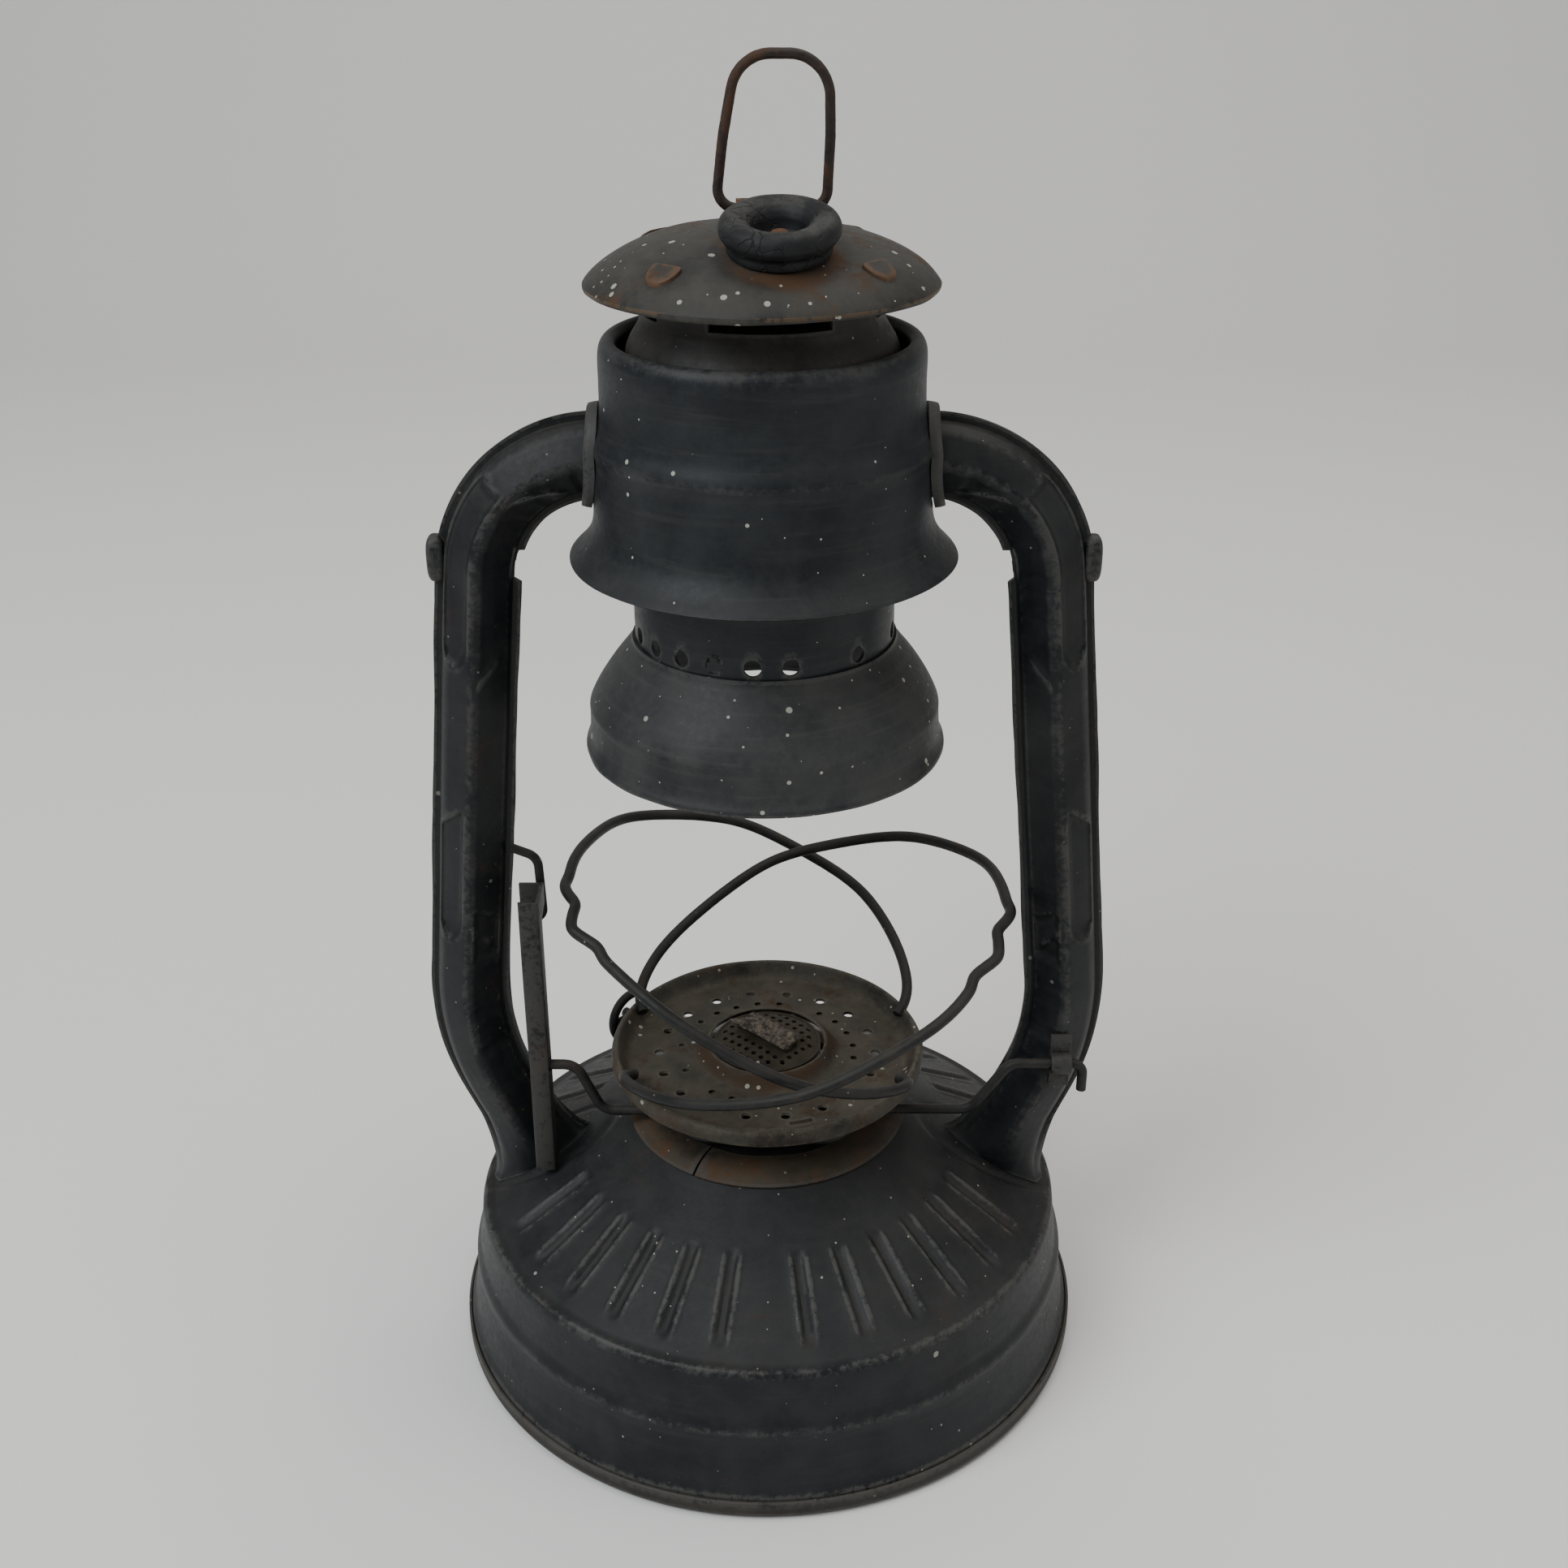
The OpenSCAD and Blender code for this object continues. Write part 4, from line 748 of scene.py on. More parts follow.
bell_paint = old_metal("bell paint", (0.0118, 0.0134, 0.0148), (0.0240, 0.0262, 0.0278),
                       (0.0660, 0.0640, 0.0580),
                       dusty=0.36, settled=0.50, worn=0.5, rusty=0.07, spotted=1.0, speckled=0.9,
                       streaked=0.30, start=97.0)
bell_line = [(31.5, 199.9), (31.8, 198.7), (33.6, 196.3), (36.9, 192.3), (40.2, 187.3), (41.9, 183.8),
             (42.25, 182.6), (42.15, 181.4),
             (42.2, 178.4), (42.35, 175.8), (42.9, 174.2), (43.55, 173.2), (43.7, 172.5), (43.65, 171.75)]
bell_line = evenly(round_off(np.array(bell_line), 2), 0.8) * MM


def bell_press(r, z, angle):
    # hand dents, an uneven lip, and a faint waviness down the shoulder
    lip = np.clip((0.176 - z) / (5 * MM), 0, 1)
    hand_dents = -0.55 * MM * dents(angle, z, 12, spread=(1, 8))
    return hand_dents - 0.35 * MM * lip * dents(angle, z, 14, spread=(5, 22))


bell = revolve("bell", bell_line, 0.8 * MM, 320, bell_press)
mark_edges(bell, 1)
dress(bell, bell_paint, "chimney", "old_paint", "bell")

flue_line = evenly([(30.7, 264.0), (30.7, 196.0)], 1.4) * MM
flue = revolve("chimney_tube", flue_line, 0.8 * MM, 256, lambda r, z,
               angle: -0.2 * MM * dents(angle, z, 31))
punched(flue, [(22, 29.5 * MM, 202.6 * MM, 2.0 * MM, 7 * MM, math.radians(4), 1.0)], bell_paint)
mark_edges(flue, 1)
dress(flue, hood_paint, "chimney", "old_paint", "chimney_tube")


# ---- Smoke collar ----
# A necked collar on top of the chimney tube, with long slots that let the smoke out
# under the cap. Soot and heat have left it brown-grey.

collar_line = [(27.0, 283.2), (27.0, 279.2), (27.0, 275.2), (27.35, 273.4), (28.6, 271.4), (29.9, 269.2),
               (30.6, 266.9), (30.7, 264.0)]
collar_line = evenly(round_off(np.array(collar_line), 1), 0.6) * MM


def smoke_slots(r, z, degrees):
    along = np.abs((degrees + 85 + 45) % 90 - 45)
    return (z > 275.5 * MM) & (z < 279.0 * MM) & (along < 29)


smoke_collar = revolve("smoke_collar", collar_line, 0.8 * MM, 360, lambda r, z,
                       angle: -0.3 * MM * dents(angle, z, 41, spread=(2, 12)),
                       opening=smoke_slots)
mark_edges(smoke_collar, 1)
smoke_finish = old_metal("sooty collar", (0.0126, 0.0122, 0.0113), (0.0250, 0.0235, 0.0206),
                         (0.0651, 0.0589, 0.0484),
                         dusty=0.5, settled=0.5, worn=0.5, rusty=0.16, spotted=0.8, streaked=0.15,
                         start=101.0)
dress(smoke_collar, smoke_finish, "chimney", "old_paint", "smoke_collar")


# ---- Cap ----
# A domed cap over a flat pan, with four small pressed tabs and two short runs of pressed ribs.
# It catches the most weather: dusty, speckled, and rusty round the knob.

cap_finish = old_metal("cap paint", (0.0085, 0.0092, 0.0092), (0.0190, 0.0192, 0.0180),
                       (0.0600, 0.0560, 0.0470),
                       dusty=0.45, settled=0.42, worn=0.95, rusty=0.27, rust=(0.070, 0.035, 0.016),
                       bare=(0.085, 0.055, 0.032),
                       spotted=1.0, speckled=0.85, stain=(4.0, -19.5, 12.0, 5.0), start=113.0)
cap_r, cap_low = 39.5, 279.8


def dome_height(r):
    return cap_low + 1.8 + 12.2 * max(0.0, 1 - (r / cap_r) ** 2.6) ** 0.8


cap_line = [(cap_r * math.sin(math.radians(a)),
             dome_height(cap_r * math.sin(math.radians(a)))) for a in np.linspace(0, 90, 46)]
cap_line = evenly(cap_line + [(39.45, 281.0), (39.2, 280.4), (38.7, 280.0)], 0.9)
knob_at, knob_lean = np.array([4.0, -19.5, 291.4]) * MM, math.radians(13)


def cap_press(r, z, angle):
    x, y = r * np.cos(angle), r * np.sin(angle)
    soft = -0.5 * MM * dents(angle, r, 61, spread=(1, 7), tall=0.04)
    rim = -0.25 * MM * np.clip((r - 36 * MM) / (3 * MM), 0, 1) * dents(angle, z, 63, spread=(6, 24))
    ribs = 0
    for middle in (128.0, 52.0):
        along = (np.degrees(angle) - middle + 180) % 360 - 180
        each = np.abs((along + 1.75) % 3.5 - 1.75)
        length = np.clip(1 - np.abs((r - 30.5 * MM) / (3.2 * MM)) ** 8, 0, 1)
        ribs = ribs + np.exp(-(each / 0.75) ** 4) * (np.abs(along) < 15.6) * length
    # a shallow saucer round the knob's foot
    away = np.hypot(x - knob_at[0], y - knob_at[1])
    saucer = -0.35 * MM * np.exp(-((away - 13.2 * MM) / (1.6 * MM)) ** 2)
    return soft + rim - 0.75 * MM * ribs + saucer


cap = revolve("cap_dome", cap_line * MM, 0.8 * MM, 480, cap_press)
mark_edges(cap, 1)
dress(cap, cap_finish, "chimney", "old_paint", "cap_dome")
pan_finish = old_metal("cap pan soot", (0.0084, 0.0080, 0.0076), (0.0192, 0.0173, 0.0144),
                       (0.0558, 0.0496, 0.0403),
                       dusty=0.5, settled=0.2, worn=0.3, rusty=0.3, spotted=0.3, start=121.0)
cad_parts["cap_pan"].data.materials[0] = pan_finish

# the tabs: raised half-discs with a sunk outline, set on the dome
tab_points, tab_faces = [], []
for quarter in range(4):
    turn_to = math.radians(quarter * 90 - 39)
    rings = []
    for lift, size in ((-0.35, 1.0), (0.42, 1.0), (0.66, 0.93), (0.72, 0.8), (0.66, 0.4)):
        loop = [(3.9 * math.sin(a) * size, max(-1.2 * size, 3.9 * -math.cos(a) * size))
                for a in np.linspace(0, 2 * math.pi, 33)[:-1]]
        rings.append([(31.2 + d, t, lift) for t, d in loop])
    first = len(tab_points)
    for ring in rings:
        for r, t, lift in ring:
            flat = math.hypot(r, t)
            x = r * math.cos(turn_to) - t * math.sin(turn_to)
            y = r * math.sin(turn_to) + t * math.cos(turn_to)
            tab_points.append((x * MM, y * MM, (dome_height(flat) + lift) * MM))
    n = 32
    for k in range(len(rings) - 1):
        for j in range(n):
            tab_faces.append([first + k * n + j, first + k * n + (j + 1) % n,
                              first + (k + 1) * n + (j + 1) % n, first + (k + 1) * n + j])
    tab_faces.append([first + j for j in range(n)])
    tab_faces.append([first + (len(rings) - 1) * n + j for j in range(n)])
tabs = mesh_piece("cap_tabs", tab_points, tab_faces)
mark_edges(tabs, 0)
tab_finish = old_metal("tab paint", (0.0160, 0.0151, 0.0134), (0.0288, 0.0264, 0.0226),
                       (0.0620, 0.0558, 0.0434),
                       dusty=0.4, settled=0.3, worn=1.0, bare=(0.085, 0.048, 0.026), rusty=0.3,
                       spotted=0.6, start=127.0)
dress(tabs, tab_finish, "chimney", "old_paint", "cap_tabs")


# ---- Knob ----
# A dished bun-shaped knob of black composition, riveted to the front slope of the cap.
# Its skin is crazed with fine cracks, and rust has crept out from under its foot.

def knob_material():
    finish = bpy.data.materials.new("crazed black composition")
    finish.use_nodes = True
    tree = finish.node_tree
    shader = tree.nodes["Principled BSDF"]
    shader.inputs["Specular IOR Level"].default_value = 0.3
    coords = node(tree, "ShaderNodeTexCoord").outputs
    place = in_mm(tree, coords)
    wander = node(tree, "ShaderNodeTexNoise", {"Vector": place, "Scale": 0.3,
                                               "Detail": 3.0}).outputs["Color"]
    bent = node(tree, "ShaderNodeVectorMath", {0: wander, 3: 2.2}, operation="SCALE").outputs[0]
    bent = node(tree, "ShaderNodeVectorMath", {0: place, 1: bent}, operation="ADD").outputs[0]
    cell = node(tree, "ShaderNodeTexVoronoi", {"Vector": bent, "Scale": 0.24},
                feature="DISTANCE_TO_EDGE").outputs["Distance"]
    crack = ramp(tree, cell, 0.0, 0.035, 1.0, 0.0)
    keep = node(tree, "ShaderNodeTexNoise", {"Vector": place, "Scale": 0.12, "Detail": 2.0}).outputs[0]
    crack = times(tree, crack, ramp(tree, keep, 0.44, 0.56))
    fine = node(tree, "ShaderNodeTexNoise", {"Vector": place, "Scale": 0.8, "Detail": 5.0,
                                             "Roughness": 0.7}).outputs[0]
    broad = node(tree, "ShaderNodeTexNoise", {"Vector": place, "Scale": 0.13, "Detail": 4.0}).outputs[0]
    up = node(tree, "ShaderNodeSeparateXYZ", {0: coords["Normal"]}).outputs[2]
    colour = blend_colour(tree, ramp(tree, broad, 0.35, 0.7), (0.0045, 0.0050, 0.0056, 1),
                          (0.0115, 0.0122, 0.0130, 1))
    dust = times(tree, ramp(tree, up, 0.3, 1.0, 0.05, 0.4),
                 ramp(tree, times(tree, fine, broad), 0.18, 0.36))
    colour = blend_colour(tree, dust, colour, (0.085, 0.08, 0.068, 1))
    colour = blend_colour(tree, times(tree, crack, 0.8), colour, (0.004, 0.004, 0.004, 1))
    rough = plus(tree, 0.42, times(tree, fine, 0.35))
    height = minus(tree, times(tree, fine, 0.3), crack)
    raised = node(tree, "ShaderNodeBump", {"Height": height, "Strength": 0.6, "Distance": 0.0004})
    tree.links.new(colour, shader.inputs["Base Color"])
    tree.links.new(rough, shader.inputs["Roughness"])
    tree.links.new(raised.outputs["Normal"], shader.inputs["Normal"])
    return finish


knob_finish = knob_material()
knob_line = [(11.1, 0.12), (11.25, 0.8), (11.2, 1.9), (11.5, 2.2)]
knob_line += [(10.2 + 2.8 * math.cos(math.radians(a)),
               5.0 + 2.8 * math.sin(math.radians(a))) for a in np.linspace(-64, 96, 18)]
knob_line += [(8.6, 7.5), (7.2, 6.9), (6.2, 6.0), (5.6, 4.9), (5.3, 3.6), (4.9, 2.4), (4.0, 1.7),
              (2.2, 1.5), (1.62, 1.45), (1.62, 0.12)]


def knob_press(r, z, angle):
    # two fine turned grooves low on the side, a worn lip, and an uneven hand feel
    side = np.clip((r - 9 * MM) / (2 * MM), 0, 1)
    grooves = np.exp(-((z - 3.5 * MM) / (0.22 * MM)) ** 2) + np.exp(-((z - 2.5 * MM) / (0.18 * MM)) ** 2)
    return -0.28 * MM * grooves * side - 0.3 * MM * side * dents(angle, z, 77, spread=(1, 9), tall=0.02)


knob = turn("knob", evenly(knob_line, 0.5) * MM, 160, knob_press, 50)
knob.data.transform(Matrix.Translation(Vector(knob_at)) @ Matrix.Rotation(knob_lean, 4, "X"))
dress(knob, knob_finish, "chimney", "dark_paint", "cap_knob")
rust_finish = old_metal("rusty rivet", (0.0270, 0.0180, 0.0132), (0.0420, 0.0270, 0.0180),
                        (0.0650, 0.0520, 0.0358),
                        dusty=0.3, settled=0.3, worn=0.5, bare=(0.11, 0.09, 0.075), rusty=0.6,
                        rust=(0.11, 0.048, 0.02), spotted=0.2, start=131.0, bump=0.6)
for name in ("knob_rivet", "strap_rivets", "ring_strap"):
    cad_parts[name].data.materials[0] = rust_finish


# ---- Hanging ring ----
# Iron wire bent to a tall loop, held under a riveted strap behind the knob so that it
# can fold back. It is pitted, and brown all over.

def bent(points, radii, closed=False, step=0.7):
    """A line through points in space, with a bend of the given radius at each one."""
    points = [np.array(p, float) for p in points]
    count, line = len(points), []
    for i, (p, radius) in enumerate(zip(points, radii)):
        if radius == 0:
            line.append(p)
            continue
        a, b = points[i - 1] - p, points[(i + 1) % count] - p
        a, b = a / np.linalg.norm(a), b / np.linalg.norm(b)
        half = math.acos(np.clip(np.dot(a, b), -1, 1)) / 2
        start = p + a * radius / math.tan(half)
        middle = p + (a + b) / np.linalg.norm(a + b) * radius / math.sin(half)
        x = (start - middle) / radius
        y = -a
        sweep = math.pi - 2 * half
        for t in np.linspace(0, sweep, max(3, int(radius * sweep / step) + 1)):
            line.append(middle + radius * (x * math.cos(t) + y * math.sin(t)))
    if closed:
        line.append(line[0])
    line = evenly(line, step)
    return line[:-1] if closed else line


def drawn_wire_tree():
    """Wire round a line: input its radius, how deep it is pitted and its finish."""
    tree = bpy.data.node_groups.new("Drawn Wire", "GeometryNodeTree")
    tree.interface.new_socket("Line", in_out="INPUT", socket_type="NodeSocketGeometry")
    for name in ("Radius", "Pitting", "Waviness"):
        tree.interface.new_socket(name, in_out="INPUT", socket_type="NodeSocketFloat")
    tree.interface.new_socket("Finish", in_out="INPUT", socket_type="NodeSocketMaterial")
    tree.interface.new_socket("Wire", in_out="OUTPUT", socket_type="NodeSocketGeometry")
    given = tree.nodes.new("NodeGroupInput").outputs
    line = node(tree, "GeometryNodeMeshToCurve", {0: given["Line"]}).outputs[0]
    ring = node(tree, "GeometryNodeCurvePrimitiveCircle",
                {"Resolution": 20, "Radius": given["Radius"]}).outputs[0]
    wire = node(tree, "GeometryNodeCurveToMesh",
                {"Curve": line, "Profile Curve": ring, "Fill Caps": True}).outputs[0]
    facing = node(tree, "GeometryNodeInputNormal").outputs[0]
    place = node(tree, "GeometryNodeInputPosition").outputs[0]
    pits = node(tree, "ShaderNodeTexNoise", {"Vector": place, "Scale": 900.0, "Detail": 3.0}).outputs[0]
    waves = node(tree, "ShaderNodeTexNoise", {"Vector": place, "Scale": 90.0, "Detail": 1.0}).outputs[0]
    depth = plus(tree, times(tree, minus(tree, pits, 0.75), given["Pitting"]),
                      times(tree, minus(tree, waves, 0.8), given["Waviness"]))
    push = node(tree, "ShaderNodeVectorMath", {0: facing, 3: depth}, operation="SCALE").outputs[0]
    wire = node(tree, "GeometryNodeSetPosition", {"Geometry": wire, "Offset": push}).outputs[0]
    wire = node(tree, "GeometryNodeRealizeInstances", {0: wire}).outputs[0]
    wire = node(tree, "GeometryNodeSetMaterial", {"Geometry": wire, "Material": given["Finish"]}).outputs[0]
    out = tree.nodes.new("NodeGroupOutput")
    tree.links.new(wire, out.inputs[0])
    return tree


DRAWN_WIRE = drawn_wire_tree()


def wire(name, lines, radius, finish, pitting=0.10, waviness=0.12):
    """A piece of round wire along each line, in millimetres; a line is (points, closed)."""
    points, edges = [], []
    for line, closed in lines:
        first = len(points)
        points += [tuple(p * MM) for p in line]
        edges += [(first + k, first + k + 1) for k in range(len(line) - 1)]
        edges += [(first + len(line) - 1, first)] if closed else []
    mesh = bpy.data.meshes.new(name)
    mesh.from_pydata(points, edges, [])
    piece = place_mesh(name, mesh)
    change = piece.modifiers.new("wire", "NODES")
    change.node_group = DRAWN_WIRE
    inputs = inputs_of(DRAWN_WIRE)
    for key, value in (("Radius", radius * MM), ("Pitting", pitting * MM), ("Waviness", waviness * MM),
                       ("Finish", finish)):
        change[inputs[key]] = value
    plain(piece)
    return piece


ring_finish = old_metal("rusty ring wire", (0.0168, 0.0126, 0.0114), (0.0288, 0.0198, 0.0162),
                        (0.0553, 0.0429, 0.0325),
                        dusty=0.3, settled=0.3, worn=0.5, bare=(0.075, 0.055, 0.045), rusty=0.30,
                        rust=(0.070, 0.034, 0.018),
                        spotted=0.15, start=137.0, bump=0.7)
ring_line = bent([(13.9, -1, 296.9), (14.6, -1.1, 312), (14.3, -0.9, 327.9), (-4.9, -1, 327.9),
                  (-8.2, -1.1, 311), (-9.9, -1, 296.9)],
                 [4, 60, 8.6, 8.4, 60, 4], closed=True)
ring = wire("hanging_ring", [(ring_line, True)], 1.2, ring_finish, 0.14, 0.16)
dress(ring, ring_finish, "ring", "dark_paint", "lift_ring")


# ---- Globe plate ----
# A pressed plate with a raised rim, pierced with two rings of holes and two long slots, with
# a turned-up hole for the burner. Years of baked oil and dust have turned it brown.

plate_finish = old_metal("baked globe plate", (0.0105, 0.0096, 0.0080), (0.0250, 0.0225, 0.0175),
                         (0.0850, 0.0740, 0.0540),
                         dusty=0.55, settled=0.38, worn=0.55, bare=(0.10, 0.09, 0.07), rusty=0.32,
                         rust=(0.055, 0.033, 0.018),
                         spotted=1.0, speckled=0.8, stain=(0.0, 0.0, 17.0, 4.5), start=149.0, bump=0.9)
plate_line = [(14.9, 83.75), (15.25, 84.15), (15.8, 84.1), (16.6, 83.2), (18.0, 81.4), (19.6, 80.5),
              (24.0, 80.2), (35.6, 79.75), (37.0, 80.5),
              (38.2, 82.3), (39.0, 83.6), (39.8, 84.15), (40.7, 83.7), (41.25, 82.7), (41.4, 81.4),
              (41.3, 80.2), (40.8, 79.5)]
plate_line = evenly(round_off(np.array(plate_line), 2), 0.7) * MM


def plate_slots(r, z, degrees):
    one = (np.abs(r - 35.0 * MM) < 0.8 * MM) & (np.abs((degrees + 90 + 180) % 360 - 180) < 8.6)
    two = (np.abs(r - 31.6 * MM) < 0.6 * MM) & (np.abs((degrees + 74 + 180) % 360 - 180) < 5.5)
    return one | two


globe_plate = revolve("globe_plate", plate_line, 0.8 * MM, 300,
                      lambda r, z, angle: -0.35 * MM * dents(angle, r, 84, spread=(2, 11), tall=0.03),
                      opening=plate_slots)
punched(globe_plate, [(18, 28.6 * MM, 80 * MM, 1.3 * MM, 8 * MM, 0.0, 0.0),
                      (24, 23.0 * MM, 80 * MM, 0.85 * MM, 8 * MM, math.radians(7.5), 0.0)], plate_finish)
mark_edges(globe_plate, 1)
dress(globe_plate, plate_finish, "plate", "old_paint", "globe_plate")


# ---- Guard wires ----
# Two bent wires cross in front of and behind the globe. Each hooks under the plate's rim at
# both ends, climbs round the far side, and is crimped at its high point to grip the glass.

wire_finish = old_metal("guard wire iron", (0.0066, 0.0068, 0.0074), (0.0150, 0.0152, 0.0155),
                        (0.0520, 0.0480, 0.0400),
                        dusty=0.26, settled=0.4, worn=0.6, rusty=0.16, rust=(0.06, 0.035, 0.02),
                        spotted=0.35, start=163.0, bump=0.6)
rim = 85.5


def guard(points, radii, crimp):
    """The route of a guard, with two short crimps about the length given along it."""
    line = bent([(x, y, rim + z) for x, y, z in points], radii)
    ease = np.clip(np.minimum(np.arange(len(line)), np.arange(len(line))[::-1]) / 30, 0, 1)[:, None]
    for _ in range(420):
        line[1:-1] += ease[1:-1] * ((line[:-2] + line[2:]) / 2 - line[1:-1])
    run = np.concatenate([[0], np.cumsum(np.linalg.norm(np.diff(line, axis=0), axis=1))])
    outward = line * [1, 1, 0] / np.linalg.norm(line[:, :2], axis=1)[:, None]
    wave = sum(sign * 1.25 * np.exp(-((run - crimp - at) / 3.4) ** 2) for at,
               sign in ((-13, -0.9), (-5, 1.0), (4, -1.1), (12, 0.7)))
    wander = 0.35 * np.sin(run * 0.09 + crimp) * np.clip(run / 20, 0,
                                                         1) * np.clip((run[-1] - run) / 20, 0, 1)
    return line + outward * (wave + wander)[:, None]


right_guard = guard([(-34, -14, -3), (-40.5, -19, 0.8), (-24, -40.5, 5), (10, -53, 17), (45, -43, 32),
                     (62, -10, 42), (60, 20, 42),
                     (38, 45, 37), (0, 52, 26), (-30, 35, 7), (-38, 21, 0.5), (-34, 15, -3)],
                    [0, 2.4, 12, 22, 22, 18, 18, 22, 22, 12, 2.4, 0], 134)
left_guard = guard([(34, -16, -3), (40.5, -22, 0.8), (30, -35, 4), (7, -46, 15), (-24, -41, 32),
                    (-48, -20, 43.5), (-51.5, 12, 47),
                    (-42, 44, 43), (-8, 60, 34), (27, 50, 17.5), (39.5, 28, 3), (40.5, 19, 0.5),
                    (35, 14, -3)],
                   [0, 2.4, 8, 18, 22, 20, 20, 20, 22, 20, 7, 2.4, 0], 122)
for name, line in (("guard_wire_right", right_guard), ("guard_wire_left", left_guard)):
    piece = wire(name + "_bent", [(line, False)], 1.5, wire_finish)
    dress(piece, wire_finish, "plate", "dark_paint", name)


# ---- Lift gear ----
# A folded strap slides on a wire staple at the left tube and pulls up one end of a cranked
# wire, which passes under the globe plate and turns in a lug on the right tube.

def softened(name, label, width, finish, body, slot):
    """A merged copy of a CAD node with its sharp edges eased, standing in its place."""
    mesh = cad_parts[name].data.copy()
    bm = bmesh.new()
    bm.from_mesh(mesh)
    bmesh.ops.remove_doubles(bm, verts=bm.verts, dist=1e-6)
    bmesh.ops.dissolve_limit(bm, angle_limit=math.radians(1), verts=bm.verts, edges=bm.edges)
    bm.to_mesh(mesh)
    bm.free()
    piece = place_mesh(label, mesh)
    ease = piece.modifiers.new("eased edges", "BEVEL")
    ease.width, ease.segments, ease.limit_method, ease.angle_limit = width * MM, 2, "ANGLE", math.radians(40)
    ease.use_clamp_overlap = True
    plain(piece)
    mark_edges(piece, 0)
    dress(piece, finish, body, slot, name)
    return piece


strap_finish = old_metal("strap paint", (0.0056, 0.0061, 0.0070), (0.0125, 0.0132, 0.0145),
                         (0.0480, 0.0440, 0.0370),
                         dusty=0.25, settled=0.3, worn=0.45, rusty=0.18, spotted=0.4, start=173.0)
# the strap is a long folded channel: its left wing tapers away, and its right one
# ends in the ear that hooks round the tube
low, high = [[value / MM for value in corner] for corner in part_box("lift_lever")]
strap_points, strap_faces = [], []
sheet, corner = 0.9, 0.8
strap_wide, wing_deep, ear_tall = 5.2, 5.4, 5.4
pivot_y, pivot_z, pivot_hole = -11.75, 84.0, 2.0
heights = np.unique(np.concatenate([np.linspace(low[2], high[2], 70),
                                    np.linspace(high[2] - 18, high[2], 40)]))
for z in heights:
    down = high[2] - z
    front = low[1] + 0.22 * (1 - math.cos((z - low[2]) * 0.11))
    left_d = 1.1 + 4.3 * smooth((down - 3) / 16)
    right_d = wing_deep + (high[1] - low[1] - wing_deep) * smooth((7.0 - down) / 1.8)
    l, r = high[0] - strap_wide, high[0]
    back_l, back_r = front + left_d, min(low[1] + right_d, high[1])
    strap_points += [(l, back_l, z), (l, front + corner, z), (l + 0.3 * corner, front + 0.3 * corner, z),
                     (l + corner, front, z),
                     (r - corner, front, z), (r - 0.3 * corner, front + 0.3 * corner, z),
                     (r, front + corner, z), (r, back_r, z),
                     (r - sheet, back_r, z), (r - sheet, front + sheet, z), (l + sheet, front + sheet, z),
                     (l + sheet, back_l, z)]
rows = len(heights)
strap_faces += [[i * 12 + j, i * 12 + (j + 1) % 12, (i + 1) * 12 + (j + 1) % 12,
                 (i + 1) * 12 + j] for i in range(rows - 1) for j in range(12)]
strap_faces += [list(range(12)), list(range((rows - 1) * 12, rows * 12))]
first = len(strap_points)
ear_inner = high[0] - 0.6
ear_outline = [(low[0], high[1] - sheet), (ear_inner, high[1] - sheet), (ear_inner, high[1]),
               (low[0], high[1])]
strap_points += [(x, y, z) for z in (high[2] - ear_tall, high[2]) for x, y in ear_outline]
strap_faces += [[first + k for k in face] for face in ((0, 1, 2, 3), (4, 5, 6, 7), (0, 1, 5, 4),
                                                       (1, 2, 6, 5), (2, 3, 7, 6), (3, 0, 4, 7))]
strap = mesh_piece("lifting_strap", np.array(strap_points) * MM, strap_faces, 40)
drill = bpy.data.meshes.new("strap_hole")
bm = bmesh.new()
bmesh.ops.create_cone(bm, cap_ends=True, segments=32, radius1=pivot_hole * MM, radius2=pivot_hole * MM,
                      depth=12 * MM,
                      matrix=Matrix.Translation(((high[0] - strap_wide / 2) * MM, pivot_y * MM,
                                                 pivot_z * MM)) @ Matrix.Rotation(math.pi / 2, 4, "Y"))
bm.to_mesh(drill)
bm.free()
drill_piece = place_mesh("strap_hole", drill)
hole = strap.modifiers.new("hole", "BOOLEAN")
hole.object, hole.solver = drill_piece, "EXACT"
plain(strap)
bpy.data.objects.remove(drill_piece)
mark_edges(strap, 0)
dress(strap, strap_finish, "lever", "old_paint", "lift_lever")
softened("wire_lug", "wire_lug_pressed", 0.25, strap_finish, "frame", "old_paint")

# each bail ear is a small pressed boss, rounded like a barrel, standing on the tube's outer seam
for label in ("left", "right"):
    low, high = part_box(f"{label}_bail_ear")
    middle, half = (Vector(low) + Vector(high)) / 2, (Vector(high) - Vector(low)) / 2
    boss = bmesh.new()
    bmesh.ops.create_icosphere(boss, subdivisions=4, radius=1.0)
    for point in boss.verts:
        unit = point.co.normalized()
        power = 2 / 3.4
        point.co = Vector([math.copysign(abs(c) ** power, c) * h for c,
                           h in zip(unit, half * 0.985)]) + middle
    boss_mesh = bpy.data.meshes.new(f"{label}_bail_boss")
    boss.to_mesh(boss_mesh)
    boss.free()
    boss_mesh.shade_smooth()
    boss_piece = place_mesh(f"{label}_bail_boss", boss_mesh)
    punched(boss_piece, [(1, abs(middle.x), middle.z, 1.6 * MM, 9 * MM, 0.0 if middle.x > 0 else math.pi,
                          1.0)], tube_paint)
    mark_edges(boss_piece, 0)
    dress(boss_piece, tube_paint, "frame", "rusty_steel", f"{label}_bail_ear")

